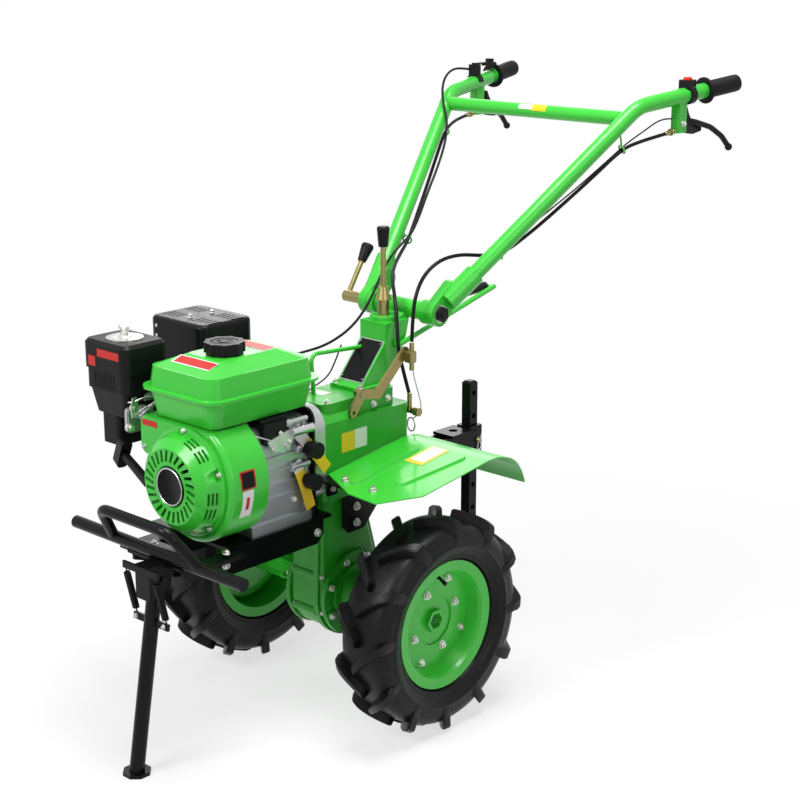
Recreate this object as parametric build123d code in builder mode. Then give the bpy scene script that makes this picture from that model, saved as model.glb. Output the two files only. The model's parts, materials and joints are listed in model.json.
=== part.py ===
"""Walk-behind power tiller on two lugged tyres, with its front stand down.

Millimetres. +Z is up, the machine faces -Y and its left side is +X. The origin is on the
floor, under the middle of the overall length. Lengths along the machine are given from
the wheels' axle line, and spot() turns them into places.
"""

from build123d import *
from math import atan2, cos, degrees, hypot, pi, radians, sin, tan
import os

os.makedirs("parts", exist_ok=True)

# Wheels
TYRE_R = 201.0  # over the lugs
LUG_H = 15.0
LUG_DEPTH = 26.0  # how far a lug is rooted in the carcass
TYRE_W = 108.0
RIM_FLANGE_R = 117.5
BEAD_R = 101.6
RIM_W = 76.0
RIM_WALL = 3.0
FLANGE_T = 4.0
WHEEL_X = 238.0  # centre plane of each wheel, from the machine's centre plane
LUGS_A_SIDE = 12
LUG_T = 17.0
LUG_L = 61.0
LUG_ANGLE = 38.0
DISC_X = 246.0  # outer face of the rim's disc
DISC_R = 87.0
DISC_HOLE_R = 46.0
HUB_PLATE_R = 70.0
HUB_PLATE_T = 5.0

# Axle
AXLE_D = 30.0
AXLE_AF = 26.0  # across the flats of its ends
HUB_AF = 38.0
HUB_FIT = 0.4
SHAFT_FIT = 0.1
AXLE_END_X = 236.0
HUB_PIN_D = 10.0

# Overall places, from the axle line
STAND_REACH = 482.0
GRIP_REACH = 848.0
GRIP_END_Z = 1094.0
FOOT_D = 46.0
AXLE_Y = (STAND_REACH + FOOT_D / 2 - GRIP_REACH) / 2
AXLE_Z = TYRE_R

# Gearbox
GEARCASE_R = 78.0
GEARCASE_W = 84.0
CASE_ROUND = 9.0
FLANGE_RISE = 6.0
FLANGE_X = 24.0
SEAM_FLANGE_T = 12.0
COLUMN_FRONT = -72.0
COLUMN_BACK = 26.0
BOX_BOTTOM = 398.0
BOX_TOP = 541.0
BOX_W = 120.0
BOX_FRONT = -86.0
BOX_BACK = 139.0
BOX_ROUND = 14.0
BELL_R = 82.0
BELL_L = 76.0
DECK_TOP = 575.0
DECK_W = 100.0
DECK_FRONT = -76.0
DECK_BACK = 112.0
COVER_R = 81.0
COVER_T = 9.0
COVER_STEP_R = 58.0
COVER_STEP_T = 6.0
COVER_BOLTS = 8
COVER_BOLT_R = 71.0
BOSS_R = 44.0
BOSS_T = 24.0
HUB_GAP = 4.0

# Engine
ENGINE_BASE = 380.0
CRANK_H = 110.0
CRANK_Z = ENGINE_BASE + CRANK_H
ENGINE_PLATE_T = 5.0
ADAPTER_T = 30.0
ENGINE_BACK = BOX_FRONT - ADAPTER_T - ENGINE_PLATE_T
CASE_FRONT = -262.0
CASE_LEFT = 58.0
CASE_RIGHT = -96.0
CASE_TOP = 570.0
CYLINDER_ANGLE = 25.0
FIN_COUNT = 8
FIN_PITCH = 11.0
FIN_T = 4.0
FAN_R = 108.0
FAN_FRONT = -344.0
FAN_OPENING_R = 80.0
FAN_WALL = 4.0
SHROUD_RIGHT = -132.0
STARTER_FLANGE_R = 95.0
RECOIL_R = 72.0
RECOIL_FRONT = -387.0
STARTER_WALL = 3.5
SLOT_COUNT = 26
VENT_GROUPS = 5
TANK_LEFT = 73.0
TANK_W = 200.0
TANK_FRONT = -352.0
TANK_L = 262.0
TANK_FLANGE_Z = 635.0
TANK_UP = 37.0
TANK_DOWN = 50.0
TANK_CROWN = 17.0
TANK_LIP = 10.0
TANK_CLEARANCE = 2.0
CAP_D = 72.0
CAP_H = 22.0
CAP_X = -20.0
CAP_Y = -241.0
PLUG_D = 30.0
NECK_D = 22.0

# Frame, bumper and stand
PLATE_T = 6.0
RAIL_X = 66.0
RAIL_FRONT = -418.0
RAIL_BACK = -98.0
RAIL_H = 42.0
DECK_RIGHT = -135.0
DECK_PLATE_FRONT = -322.0
BUMPER_D = 22.0
BUMPER_Y = -422.0
BUMPER_Z = ENGINE_BASE - PLATE_T + BUMPER_D / 2
BUMPER_HALF = 219.0
BUMPER_ARM_X = 83.0
BUMPER_ARM_W = 28.0
LOOP_D = 19.0
LOOP_FOOT_X = 112.0
LOOP_TOP_X = 87.0
LOOP_TOP_Y = -466.0
LOOP_TOP_Z = 452.0
STAND_PIN_Y = -424.0
STAND_PIN_Z = 340.0
STAND_PIN_D = 10.0
LEG_D = 26.0
FOOT_T = 6.0
CHEEK_T = 4.0
CHEEK_GAP = 28.0
WEB_Y = -450.0
WEB_BOTTOM = 308.0
SPRING_X = 42.0
SPRING_D = 12.0
SPRING_BAR_Z = 362.0
SPRING_BAR_Y = WEB_Y - 6.0
LEG_BAR_DROP = 76.0
BAR_H = 12.0
BAR_T = 5.0

# Handlebar
TUBE_D = 30.0
TUBE_WALL = 2.0
PIVOT_Y = 183.5
PIVOT_Z = 705.0
PIVOT_TUBE_D = 36.0
PIVOT_HALF = 58.0
DISC_T = 8.0
DISC_D = 46.0
DISC_GAP = 0.4
ARM_T = 20.0
ARM_X = PIVOT_HALF + 2 * DISC_T + DISC_GAP + ARM_T / 2
CHEEK_R = 24.0
SOCKET_D = 39.0
SOCKET_FROM = 40.0
SOCKET_TO = 104.0
BEND_X = 235.0
BEND_Y = 585.0
BEND_Z = 1062.0
BEND_R = 70.0
GRIP_X = 285.0
CROSSBAR_D = 28.0
CROSSBAR_T = 0.94  # share of the straight tube below the crossbar
GRIP_D = 34.0
GRIP_L = 92.0
GRIP_END_T = 3.0
GRIP_COLLAR_D = 52.0
CLAMP_BOLT_D = 12.0
CRANK_SLEEVE_D = 22.0
CRANK_END_X = -150.0
BRACKET_W = 20.0
BRACKET_L = 24.0
BRACKET_Y = 694.0
BRACKET_LOW = 1006.0
CABLE_START_Y = 672.0
RING_R = 8.5
RING_WIRE = 3.5
LEVER_D = 11.0
THROTTLE_Y = 683.0
SWITCH_Y = 716.5
STAY_D = 8.0

# Hitch and depth stake
STAKE_SIDE = 22.0
STAKE_Y = 380.0
STAKE_TOP = 524.0
STAKE_L = 380.0
STAKE_PITCH = 48.0
STAKE_HOLE_D = 10.5
SLEEVE_WALL = 6.0
SLEEVE_FIT = 0.6
SLEEVE_TOP = 433.0
SLEEVE_H = 64.0
HITCH_Z = 402.0
HITCH_ARM_H = 44.0
HITCH_PIN_Y = 282.0
HITCH_PIN_HOLE_D = 16.4

# Cables
CABLE_D = 7.0
THROTTLE_D = 5.0

# Fenders
FENDER_T = 2.0
FENDER_IN = 64.0
FENDER_OUT = 273.0
FENDER_FRONT_Y = -126.0
FENDER_FRONT_Z = 445.0
FENDER_CREST_Y = 110.0
FENDER_CREST_Z = 476.0
RIB_RISE = 3.5


def spot(x, y, z):
    """A place from x across, y behind the axle line and z above the floor."""
    return Vector(x, AXLE_Y + y, z)


def side_plane(x):
    """A plane across the machine at x, its own x running back and its y running up."""
    return Plane(origin=spot(x, 0, 0), x_dir=(0, 1, 0), z_dir=(1, 0, 0))


def level_plane(z, x=0.0, y=0.0):
    """A level plane at height z."""
    return Plane(origin=spot(x, y, z), x_dir=(1, 0, 0), z_dir=(0, 0, 1))


def front_plane(y, x=0.0, z=0.0):
    """An upright plane that faces the machine's front, its own x running to the left."""
    return Plane(origin=spot(x, y, z), x_dir=(1, 0, 0), z_dir=(0, -1, 0))


def save(piece, name):
    """Labels a finished piece and writes it under its own name."""
    piece.part.label = name
    export_step(piece.part, f"parts/{name}.step")


def save_pair(piece, name):
    """Writes a left-hand piece, and its mirror image as the right-hand one."""
    save(piece, name + "_left")
    with BuildPart() as twin:
        add(mirror(piece.part, about=Plane.YZ))
    save(twin, name + "_right")


def tube_along(points, radii, diameter, wall=0.0):
    """A round bar or tube along straight runs joined by tangent arcs."""
    with BuildPart() as tube:
        with BuildLine() as path:
            if len(points) > 2:
                FilletPolyline(*points, radius=radii)
            else:
                Line(*points)
        with BuildSketch(Plane(origin=path.line @ 0, z_dir=path.line % 0)):
            Circle(diameter / 2)
            if wall:
                Circle(diameter / 2 - wall, mode=Mode.SUBTRACT)
        sweep()
    return tube


def bend_radii(points):
    """The largest tangent arc that each corner's two runs allow."""
    radii = []
    for before, here, after in zip(points, points[1:], points[2:]):
        turn = (here - before).get_angle(after - here)
        run = min((here - before).length, (after - here).length)
        radii.append(0.45 * run / tan(radians(turn) / 2))
    return radii


# Tyres, rims and hubs
def make_tyre(side):
    centre = side * WHEEL_X
    crown = TYRE_R - LUG_H
    half = TYRE_W / 2
    flank = [
        (RIM_W / 2 - FLANGE_T, BEAD_R),
        (RIM_W / 2 - FLANGE_T, RIM_FLANGE_R + 1),
        (half - 13, RIM_FLANGE_R + 4),
        (half - 4, RIM_FLANGE_R + 18),
        (half, RIM_FLANGE_R + 36),
        (half - 3, crown - 17),
        (half - 11, crown - 6),
        (half - 28, crown - 1),
        (0, crown),
    ]
    with BuildPart() as tyre:
        with BuildSketch(front_plane(0, centre, AXLE_Z)):
            with BuildLine():
                outer = Polyline(*flank)
                inner = Polyline(*[(-x, r) for x, r in reversed(flank)])
                Line(inner @ 1, outer @ 0)
            make_face()
        revolve(axis=Axis(spot(centre, 0, AXLE_Z), (1, 0, 0)))
        for flank_side in (-1, 1):
            for number in range(LUGS_A_SIDE):
                turn = 360 / LUGS_A_SIDE * (number + (0 if flank_side > 0 else 0.5))
                out = Vector(0, sin(radians(turn)), -cos(radians(turn)))
                along = Vector(0, cos(radians(turn)), sin(radians(turn)))
                middle = spot(centre + flank_side * half * 0.48, 0, AXLE_Z) + out * (crown - LUG_DEPTH)
                lean = radians(LUG_ANGLE)
                run = Vector(flank_side * cos(lean), 0, 0) + along * sin(lean)
                with BuildSketch(Plane(origin=middle, x_dir=run, z_dir=out)):
                    Rectangle(LUG_L, LUG_T + 2)
        extrude(amount=LUG_H + LUG_DEPTH + 2, taper=4)
        with BuildSketch(side_plane(centre - half)):
            with Locations((0, AXLE_Z)):
                Circle(TYRE_R)
        extrude(amount=TYRE_W, mode=Mode.INTERSECT)
    return tyre


def make_rim(side):
    centre = side * WHEEL_X
    half = RIM_W / 2
    disc = DISC_X - WHEEL_X
    section = [
        (-half, RIM_FLANGE_R),
        (-half, BEAD_R - RIM_WALL),
        (disc + 10, BEAD_R - RIM_WALL),
        (disc - RIM_WALL, DISC_R),
        (disc - RIM_WALL, DISC_HOLE_R),
        (disc, DISC_HOLE_R),
        (disc, DISC_R),
        (half - 8, BEAD_R - 6),
        (half - 2, BEAD_R - 2.6),
        (half, RIM_FLANGE_R),
        (half - FLANGE_T, RIM_FLANGE_R),
        (half - FLANGE_T, BEAD_R),
        (-half + FLANGE_T, BEAD_R),
        (-half + FLANGE_T, RIM_FLANGE_R),
    ]
    with BuildPart() as rim:
        with BuildSketch(front_plane(0, centre, AXLE_Z)):
            with BuildLine():
                Polyline(*[(side * x, r) for x, r in section], close=True)
            make_face()
        revolve(axis=Axis(spot(centre, 0, AXLE_Z), (1, 0, 0)))
    return rim


def make_hub(side):
    inner = GEARCASE_W / 2 + COVER_T + COVER_STEP_T + BOSS_T + HUB_GAP
    plate_face = DISC_X - RIM_WALL
    with BuildPart() as hub:
        with BuildSketch(side_plane(side * inner)):
            with Locations((0, AXLE_Z)):
                RegularPolygon(HUB_AF / 2, 6, major_radius=False)
        extrude(amount=side * (DISC_X + 6 - inner))
        with BuildSketch(side_plane(side * plate_face)):
            with Locations((0, AXLE_Z)):
                Circle(HUB_PLATE_R)
        extrude(amount=-side * HUB_PLATE_T)
        with BuildSketch(side_plane(side * (inner - 1))):
            with Locations((0, AXLE_Z)):
                RegularPolygon(AXLE_AF / 2 + HUB_FIT, 6, major_radius=False)
        extrude(amount=side * (DISC_X + 8 - inner), mode=Mode.SUBTRACT)
        with BuildSketch(front_plane(HUB_AF, side * (inner + 22), AXLE_Z)):
            Circle(HUB_PIN_D / 2)
        extrude(amount=HUB_AF * 2)
        with BuildSketch(side_plane(side * (inner - 1))):
            with Locations((0, AXLE_Z)):
                RegularPolygon(AXLE_AF / 2 + HUB_FIT, 6, major_radius=False)
        extrude(amount=side * 60, mode=Mode.SUBTRACT)
    return hub


save_pair(make_tyre(1), "tyre")
save_pair(make_rim(1), "rim")
save_pair(make_hub(1), "hub")

cover_face = GEARCASE_W / 2 + COVER_T + COVER_STEP_T + BOSS_T
with BuildPart() as axle_shaft:
    with BuildSketch(side_plane(-AXLE_END_X)):
        with Locations((0, AXLE_Z)):
            RegularPolygon(AXLE_AF / 2, 6, major_radius=False)
    extrude(amount=2 * AXLE_END_X)
    with BuildSketch(side_plane(-cover_face - HUB_GAP / 2)):
        with Locations((0, AXLE_Z)):
            Circle(AXLE_D / 2)
    extrude(amount=2 * cover_face + HUB_GAP)
save(axle_shaft, "axle_shaft")


# Gearbox
def case_outline(grow):
    """The gear case from the side: a round sump under a straight column."""
    with Locations((0, AXLE_Z)):
        Circle(GEARCASE_R + grow)
    with Locations(((COLUMN_FRONT + COLUMN_BACK) / 2, BOX_BOTTOM)):
        Rectangle(COLUMN_BACK - COLUMN_FRONT + 2 * grow, 6)
    make_hull()


with BuildPart() as gearbox:
    with BuildSketch(side_plane(-GEARCASE_W / 2)):
        case_outline(0)
    extrude(amount=GEARCASE_W)
    fillet(gearbox.faces().filter_by(Axis.X).edges(), CASE_ROUND)
    with BuildSketch(side_plane(FLANGE_X)):
        case_outline(FLANGE_RISE)
    extrude(amount=SEAM_FLANGE_T)
    for boss_z in (AXLE_Z + 46, AXLE_Z - 24):
        with BuildSketch(side_plane(-GEARCASE_W / 2 + CASE_ROUND)):
            with Locations((-GEARCASE_R * 0.93, boss_z)):
                Circle(9)
    extrude(amount=FLANGE_X + GEARCASE_W / 2 - CASE_ROUND)
    with BuildSketch(level_plane(BOX_BOTTOM, 0, (BOX_FRONT + BOX_BACK) / 2)):
        RectangleRounded(BOX_W, BOX_BACK - BOX_FRONT, BOX_ROUND)
    extrude(amount=BOX_TOP - BOX_BOTTOM)
    with BuildSketch(front_plane(BOX_FRONT, 0, CRANK_Z)):
        Circle(BELL_R)
        Rectangle(BOX_W + 4, 2 * BELL_R, mode=Mode.INTERSECT)
    extrude(amount=-BELL_L)
    with BuildSketch(level_plane(BOX_TOP, 0, (DECK_FRONT + DECK_BACK) / 2)):
        RectangleRounded(DECK_W, DECK_BACK - DECK_FRONT, 16)
    extrude(amount=DECK_TOP - BOX_TOP)
    with BuildSketch(front_plane(BOX_BACK, 0, (BOX_BOTTOM + BOX_TOP) / 2)):
        RectangleRounded(84, 84, 12)
    extrude(amount=-8)
    with BuildSketch(side_plane(-GEARCASE_W / 2 - 1)):
        with Locations((0, AXLE_Z)):
            Circle(AXLE_D / 2 + SHAFT_FIT)
    extrude(amount=GEARCASE_W + 2, mode=Mode.SUBTRACT)
save(gearbox, "gearbox")

for side in (1, -1):
    with BuildPart() as cover:
        with BuildSketch(side_plane(side * GEARCASE_W / 2)):
            with Locations((0, AXLE_Z)):
                Circle(COVER_R)
        extrude(amount=side * COVER_T)
        with BuildSketch(side_plane(side * GEARCASE_W / 2)):
            with Locations((0, AXLE_Z)):
                with PolarLocations(COVER_BOLT_R, COVER_BOLTS, start_angle=22.5):
                    Circle(9)
        extrude(amount=side * (COVER_T + 3))
        with BuildSketch(side_plane(side * (GEARCASE_W / 2 + COVER_T))):
            with Locations((0, AXLE_Z)):
                Circle(COVER_STEP_R)
        extrude(amount=side * COVER_STEP_T)
        with BuildSketch(side_plane(side * (GEARCASE_W / 2 + COVER_T + COVER_STEP_T))):
            with Locations((0, AXLE_Z)):
                Circle(BOSS_R)
        extrude(amount=side * BOSS_T, taper=14)
        with BuildSketch(side_plane(side * GEARCASE_W / 2)):
            with Locations((0, AXLE_Z)):
                Circle(AXLE_D / 2 + SHAFT_FIT)
        extrude(amount=side * (cover_face + 1 - GEARCASE_W / 2), mode=Mode.SUBTRACT)
    save(cover, "drive_cover_left" if side > 0 else "drive_cover_right")

# Engine
shroud_top = TANK_FLANGE_Z - TANK_DOWN - TANK_CLEARANCE
case_x = (CASE_LEFT + CASE_RIGHT) / 2
case_w = CASE_LEFT - CASE_RIGHT
with BuildPart() as crankcase:
    with BuildSketch(front_plane(ENGINE_BACK)):
        with Locations((case_x, (ENGINE_BASE + CASE_TOP) / 2)):
            RectangleRounded(case_w, CASE_TOP - ENGINE_BASE, 26)
        with Locations((case_x - 6, ENGINE_BASE + 9)):
            Rectangle(case_w + 20, 18)
    extrude(amount=ENGINE_BACK - CASE_FRONT)
    with BuildSketch(front_plane(ENGINE_BACK - 8)):
        with Locations((case_x, (ENGINE_BASE + CASE_TOP) / 2 + 4)):
            RectangleRounded(case_w + 8, CASE_TOP - ENGINE_BASE - 4, 28)
    extrude(amount=6)
    for rib_z in (440, 464, 488, 512):
        with BuildSketch(side_plane(CASE_LEFT)):
            with Locations((ENGINE_BACK - 70, rib_z)):
                Rectangle(76, 3)
    extrude(amount=4)
save(crankcase, "crankcase")

cylinder_run = Vector(-cos(radians(CYLINDER_ANGLE)), 0, sin(radians(CYLINDER_ANGLE)))


def across_cylinder(distance):
    """A plane square to the cylinder's axis, that far from the crankshaft."""
    middle = spot(0, (CASE_FRONT + ENGINE_BACK) / 2, CRANK_Z) + cylinder_run * distance
    return Plane(origin=middle, x_dir=(0, 1, 0), z_dir=cylinder_run)


fins_from = -CASE_RIGHT / cos(radians(CYLINDER_ANGLE)) - 4
head_from = fins_from + FIN_COUNT * FIN_PITCH
with BuildPart() as cylinder:
    with BuildSketch(across_cylinder(fins_from - 16)):
        Circle(37)
    extrude(amount=head_from - fins_from + 20)
    for number in range(FIN_COUNT):
        with BuildSketch(across_cylinder(fins_from + FIN_PITCH * (number + 0.4))):
            RectangleRounded(96, 80, 12)
    extrude(amount=FIN_T)
    with BuildSketch(across_cylinder(head_from)):
        RectangleRounded(98, 78, 10)
    extrude(amount=26)
    with BuildSketch(across_cylinder(head_from + 26)):
        RectangleRounded(78, 62, 12)
    extrude(amount=20, taper=5)
    with BuildSketch(front_plane(ENGINE_BACK + 30)):
        with Locations((case_x, (ENGINE_BASE + CASE_TOP) / 2)):
            Rectangle(case_w, CASE_TOP - ENGINE_BASE)
    extrude(amount=ENGINE_BACK - CASE_FRONT + 60, mode=Mode.SUBTRACT)
save(cylinder, "cylinder")

with BuildPart() as engine_plate:
    with BuildSketch(front_plane(ENGINE_BACK + ENGINE_PLATE_T)):
        with Locations((0, (ENGINE_BASE + shroud_top) / 2)):
            RectangleRounded(138, shroud_top - ENGINE_BASE, 22)
        with Locations((0, ENGINE_BASE + 15)):
            Rectangle(138, 30)
        with Locations((0, CRANK_Z)):
            Circle(30, mode=Mode.SUBTRACT)
    extrude(amount=ENGINE_PLATE_T)
save(engine_plate, "engine_plate")

with BuildPart() as clutch_housing:
    with BuildSketch(front_plane(BOX_FRONT)):
        with Locations((0, CRANK_Z)):
            RectangleRounded(128, 176, 40)
    extrude(amount=ADAPTER_T)
save(clutch_housing, "clutch_housing")

with BuildPart() as oil_plugs:
    for plug_y, plug_z in ((ENGINE_BACK - 12.5, 515), (ENGINE_BACK - 17, 458)):
        with BuildSketch(side_plane(CASE_LEFT + 4)):
            with Locations((plug_y, plug_z)):
                Circle(NECK_D / 2)
        extrude(amount=20)
        with BuildSketch(side_plane(CASE_LEFT + 18)):
            with Locations((plug_y, plug_z)):
                RegularPolygon(PLUG_D / 2, 10)
        extrude(amount=20)
save(oil_plugs, "oil_plugs")

with BuildPart() as fan_housing:
    with BuildSketch(front_plane(CASE_FRONT)):
        with Locations((0, CRANK_Z)):
            Circle(FAN_R)
        with Locations(((SHROUD_RIGHT + 20) / 2, shroud_top - 36)):
            RectangleRounded(20 - SHROUD_RIGHT, 72, 18)
        with Locations((0, shroud_top + FAN_R)):
            Rectangle(4 * FAN_R, 2 * FAN_R, mode=Mode.SUBTRACT)
    extrude(amount=CASE_FRONT - FAN_FRONT)
    fillet(fan_housing.faces().sort_by(Axis.Y)[0].edges(), 9)
    with BuildSketch(front_plane(CASE_FRONT - FAN_WALL, 0, CRANK_Z)):
        Circle(FAN_OPENING_R)
    extrude(amount=CASE_FRONT - FAN_FRONT, mode=Mode.SUBTRACT)
save(fan_housing, "fan_housing")

with BuildPart() as flywheel_fan:
    with BuildSketch(front_plane(CASE_FRONT - FAN_WALL, 0, CRANK_Z)):
        Circle(FAN_OPENING_R - 8)
    extrude(amount=30)
    for number in range(12):
        turn = 30 * number
        with BuildSketch(front_plane(CASE_FRONT - FAN_WALL - 30, 0, CRANK_Z)):
            with Locations(Location((0, 0, 0), (0, 0, turn))):
                with Locations((54, 0)):
                    Rectangle(34, 4, rotation=25)
    extrude(amount=26)
save(flywheel_fan, "flywheel_fan")

# Recoil starter: a hollow drum with a ring of slots in its face and groups of slots round its side
drum = [
    (STARTER_FLANGE_R, FAN_FRONT),
    (STARTER_FLANGE_R, FAN_FRONT - 5),
    (STARTER_FLANGE_R - 7, FAN_FRONT - 8),
    (RECOIL_R + 9, FAN_FRONT - 30),
    (RECOIL_R, RECOIL_FRONT + 5),
    (RECOIL_R - 6, RECOIL_FRONT),
    (37, RECOIL_FRONT),
    (34, RECOIL_FRONT + 3),
    (0, RECOIL_FRONT + 3),
    (0, RECOIL_FRONT + 3 + STARTER_WALL),
    (34, RECOIL_FRONT + 3 + STARTER_WALL),
    (RECOIL_R - 8, RECOIL_FRONT + STARTER_WALL),
    (RECOIL_R - 4, RECOIL_FRONT + 8),
    (RECOIL_R + 5, FAN_FRONT - 29),
    (STARTER_FLANGE_R - 14, FAN_FRONT - 3),
    (STARTER_FLANGE_R - 14, FAN_FRONT),
]
with BuildPart() as recoil_starter:
    with BuildSketch(Plane(origin=spot(0, 0, CRANK_Z), x_dir=(1, 0, 0), z_dir=(0, 0, 1))):
        with BuildLine():
            Polyline(*drum, close=True)
        make_face()
    revolve(axis=Axis(spot(0, 0, CRANK_Z), (0, 1, 0)))
    with BuildSketch(front_plane(RECOIL_FRONT - 1, 0, CRANK_Z)):
        for number in range(SLOT_COUNT):
            with Locations(Location((0, 0, 0), (0, 0, 360 / SLOT_COUNT * number))):
                with Locations((53, 0)):
                    Rectangle(21, 5.5, rotation=-16)
    extrude(amount=-8, mode=Mode.SUBTRACT)
    for group in range(VENT_GROUPS):
        for column in (-10, 10):
            turn = radians(360 / VENT_GROUPS * group - 16 + column)
            out = Vector(cos(turn), 0, sin(turn))
            along = Vector(-sin(turn), 0, cos(turn))
            for row in (14, 21, 28):
                middle = spot(0, FAN_FRONT - row, CRANK_Z) + out * STARTER_FLANGE_R
                with BuildSketch(Plane(origin=middle, x_dir=along, z_dir=-out)):
                    Rectangle(22, 4.2)
    extrude(amount=26, mode=Mode.SUBTRACT)
    for group in range(VENT_GROUPS):
        turn = radians(360 / VENT_GROUPS * group + 20)
        with BuildSketch(front_plane(FAN_FRONT - 6, STARTER_FLANGE_R * cos(turn), CRANK_Z + STARTER_FLANGE_R * sin(turn))):
            Circle(13)
    extrude(amount=40, mode=Mode.SUBTRACT)
save(recoil_starter, "recoil_starter")

neck_from = spot(-RECOIL_R - 20, FAN_FRONT - 17, CRANK_Z - 19)
neck_to = spot(-168, FAN_FRONT - 6, CRANK_Z + 12)
neck_run = (neck_to - neck_from).normalized()
with BuildPart() as recoil_handle:
    with BuildSketch(Plane(origin=neck_from - neck_run * 2, x_dir=(0, 1, 0), z_dir=neck_run)):
        RectangleRounded(15, 15, 4)
    with BuildSketch(Plane(origin=neck_to, x_dir=(0, 1, 0), z_dir=neck_run)):
        RectangleRounded(14, 12, 4)
    loft()
    with BuildSketch(Plane(origin=neck_to - neck_run * 2, x_dir=(0, 1, 0), z_dir=neck_run)):
        RectangleRounded(22, 54, 8)
    extrude(amount=20, taper=6)
save(recoil_handle, "recoil_handle")

tank_x = TANK_LEFT - TANK_W / 2
tank_y = TANK_FRONT + TANK_L / 2
shell_w = TANK_W - 2 * TANK_LIP
shell_l = TANK_L - 2 * TANK_LIP
with BuildPart() as fuel_tank:
    with BuildSketch(level_plane(TANK_FLANGE_Z - 2.5, tank_x, tank_y)):
        RectangleRounded(TANK_W, TANK_L, 34)
    extrude(amount=5)
    with BuildSketch(level_plane(TANK_FLANGE_Z, tank_x, tank_y)):
        RectangleRounded(shell_w, shell_l, 28)
    extrude(amount=TANK_UP, taper=9)
    with BuildSketch(level_plane(TANK_FLANGE_Z, tank_x, tank_y)):
        RectangleRounded(shell_w, shell_l, 28)
    extrude(amount=-TANK_DOWN, taper=13)
    shoulder = 2 * TANK_UP * tan(radians(9)) + 4
    with BuildSketch(level_plane(TANK_FLANGE_Z + TANK_UP, tank_x, tank_y)):
        RectangleRounded(shell_w - shoulder, shell_l - shoulder, 20)
    with BuildSketch(level_plane(TANK_FLANGE_Z + TANK_UP + TANK_CROWN, tank_x, tank_y + 6)):
        RectangleRounded(shell_w * 0.5, shell_l * 0.56, 14)
    loft()
save(fuel_tank, "fuel_tank")

cap_base = TANK_FLANGE_Z + TANK_UP + TANK_CROWN
with BuildPart() as fuel_cap:
    with BuildSketch(level_plane(cap_base, CAP_X, CAP_Y)):
        Circle(CAP_D / 2 - 4)
    extrude(amount=5)
    with BuildSketch(level_plane(cap_base + 5, CAP_X, CAP_Y)):
        Circle(CAP_D / 2 - 3)
        with PolarLocations(CAP_D / 2 - 7, 9):
            Circle(7)
    extrude(amount=CAP_H - 5)
    with BuildSketch(level_plane(cap_base + CAP_H, CAP_X, CAP_Y)):
        Circle(CAP_D / 2 - 12)
    extrude(amount=-4, mode=Mode.SUBTRACT)
save(fuel_cap, "fuel_cap")

with BuildPart() as air_cleaner:
    with BuildSketch(level_plane(648, -203, -311)):
        RectangleRounded(119, 98, 16)
    extrude(amount=51)
    chamfer(air_cleaner.faces().sort_by(Axis.Z)[-1].edges(), 6)
    with BuildSketch(level_plane(612, -203, -311)):
        RectangleRounded(113, 92, 14)
    extrude(amount=36)
    with BuildSketch(level_plane(612, -203, -311)):
        RectangleRounded(106, 86, 12)
    with BuildSketch(level_plane(566, -208, -308)):
        RectangleRounded(84, 72, 10)
    loft()
    with BuildSketch(level_plane(508, -222, -306)):
        RectangleRounded(52, 60, 10)
    extrude(amount=60)
save(air_cleaner, "air_cleaner")

with BuildPart() as carburettor:
    with BuildSketch(front_plane(-241, -196, 578)):
        RectangleRounded(52, 44, 8)
    extrude(amount=27)
    with BuildSketch(level_plane(536, -188, -259)):
        Circle(16.8)
    extrude(amount=30)
save(carburettor, "carburettor")

with BuildPart() as muffler:
    with BuildSketch(level_plane(628, -215, -126)):
        RectangleRounded(150, 124, 18)
    extrude(amount=79)
    fillet(muffler.faces().sort_by(Axis.Z)[-1].edges(), 8)
    with BuildSketch(level_plane(707, -215, -126)):
        for column in (-46, 46):
            with Locations((column, 0)):
                with GridLocations(11, 52, 5, 2):
                    Rectangle(4, 30)
    extrude(amount=-4, mode=Mode.SUBTRACT)
    with BuildSketch(level_plane(617.5, -176, -150)):
        Circle(15)
    extrude(amount=12)
save(muffler, "muffler")

with BuildPart() as ignition_unit:
    with BuildSketch(side_plane(CASE_LEFT - 30)):
        with Locations((ENGINE_BACK - 84, CASE_TOP + 6.5)):
            RectangleRounded(62, 12.6, 4)
    extrude(amount=34)
    with BuildSketch(side_plane(CASE_LEFT)):
        with Locations((ENGINE_BACK - 84, CASE_TOP - 12)):
            RectangleRounded(58, 38, 5)
    extrude(amount=9)
save(ignition_unit, "ignition_unit")

with BuildPart() as governor_control:
    with BuildSketch(side_plane(CASE_LEFT + 9)):
        with BuildLine():
            Polyline(
                (ENGINE_BACK - 108, 546),
                (ENGINE_BACK - 44, 562),
                (ENGINE_BACK - 48, 538),
                (ENGINE_BACK - 70, 520),
                (ENGINE_BACK - 96, 528),
                close=True,
            )
        make_face()
    extrude(amount=3)
    with BuildSketch(side_plane(CASE_LEFT)):
        with Locations((ENGINE_BACK - 64, 530), (ENGINE_BACK - 91, 532)):
            Circle(5)
    extrude(amount=16)
    with BuildSketch(front_plane(ENGINE_BACK - 4, CASE_LEFT + 13, 552)):
        Circle(8)
    extrude(amount=50)
save(governor_control, "governor_control")

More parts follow.
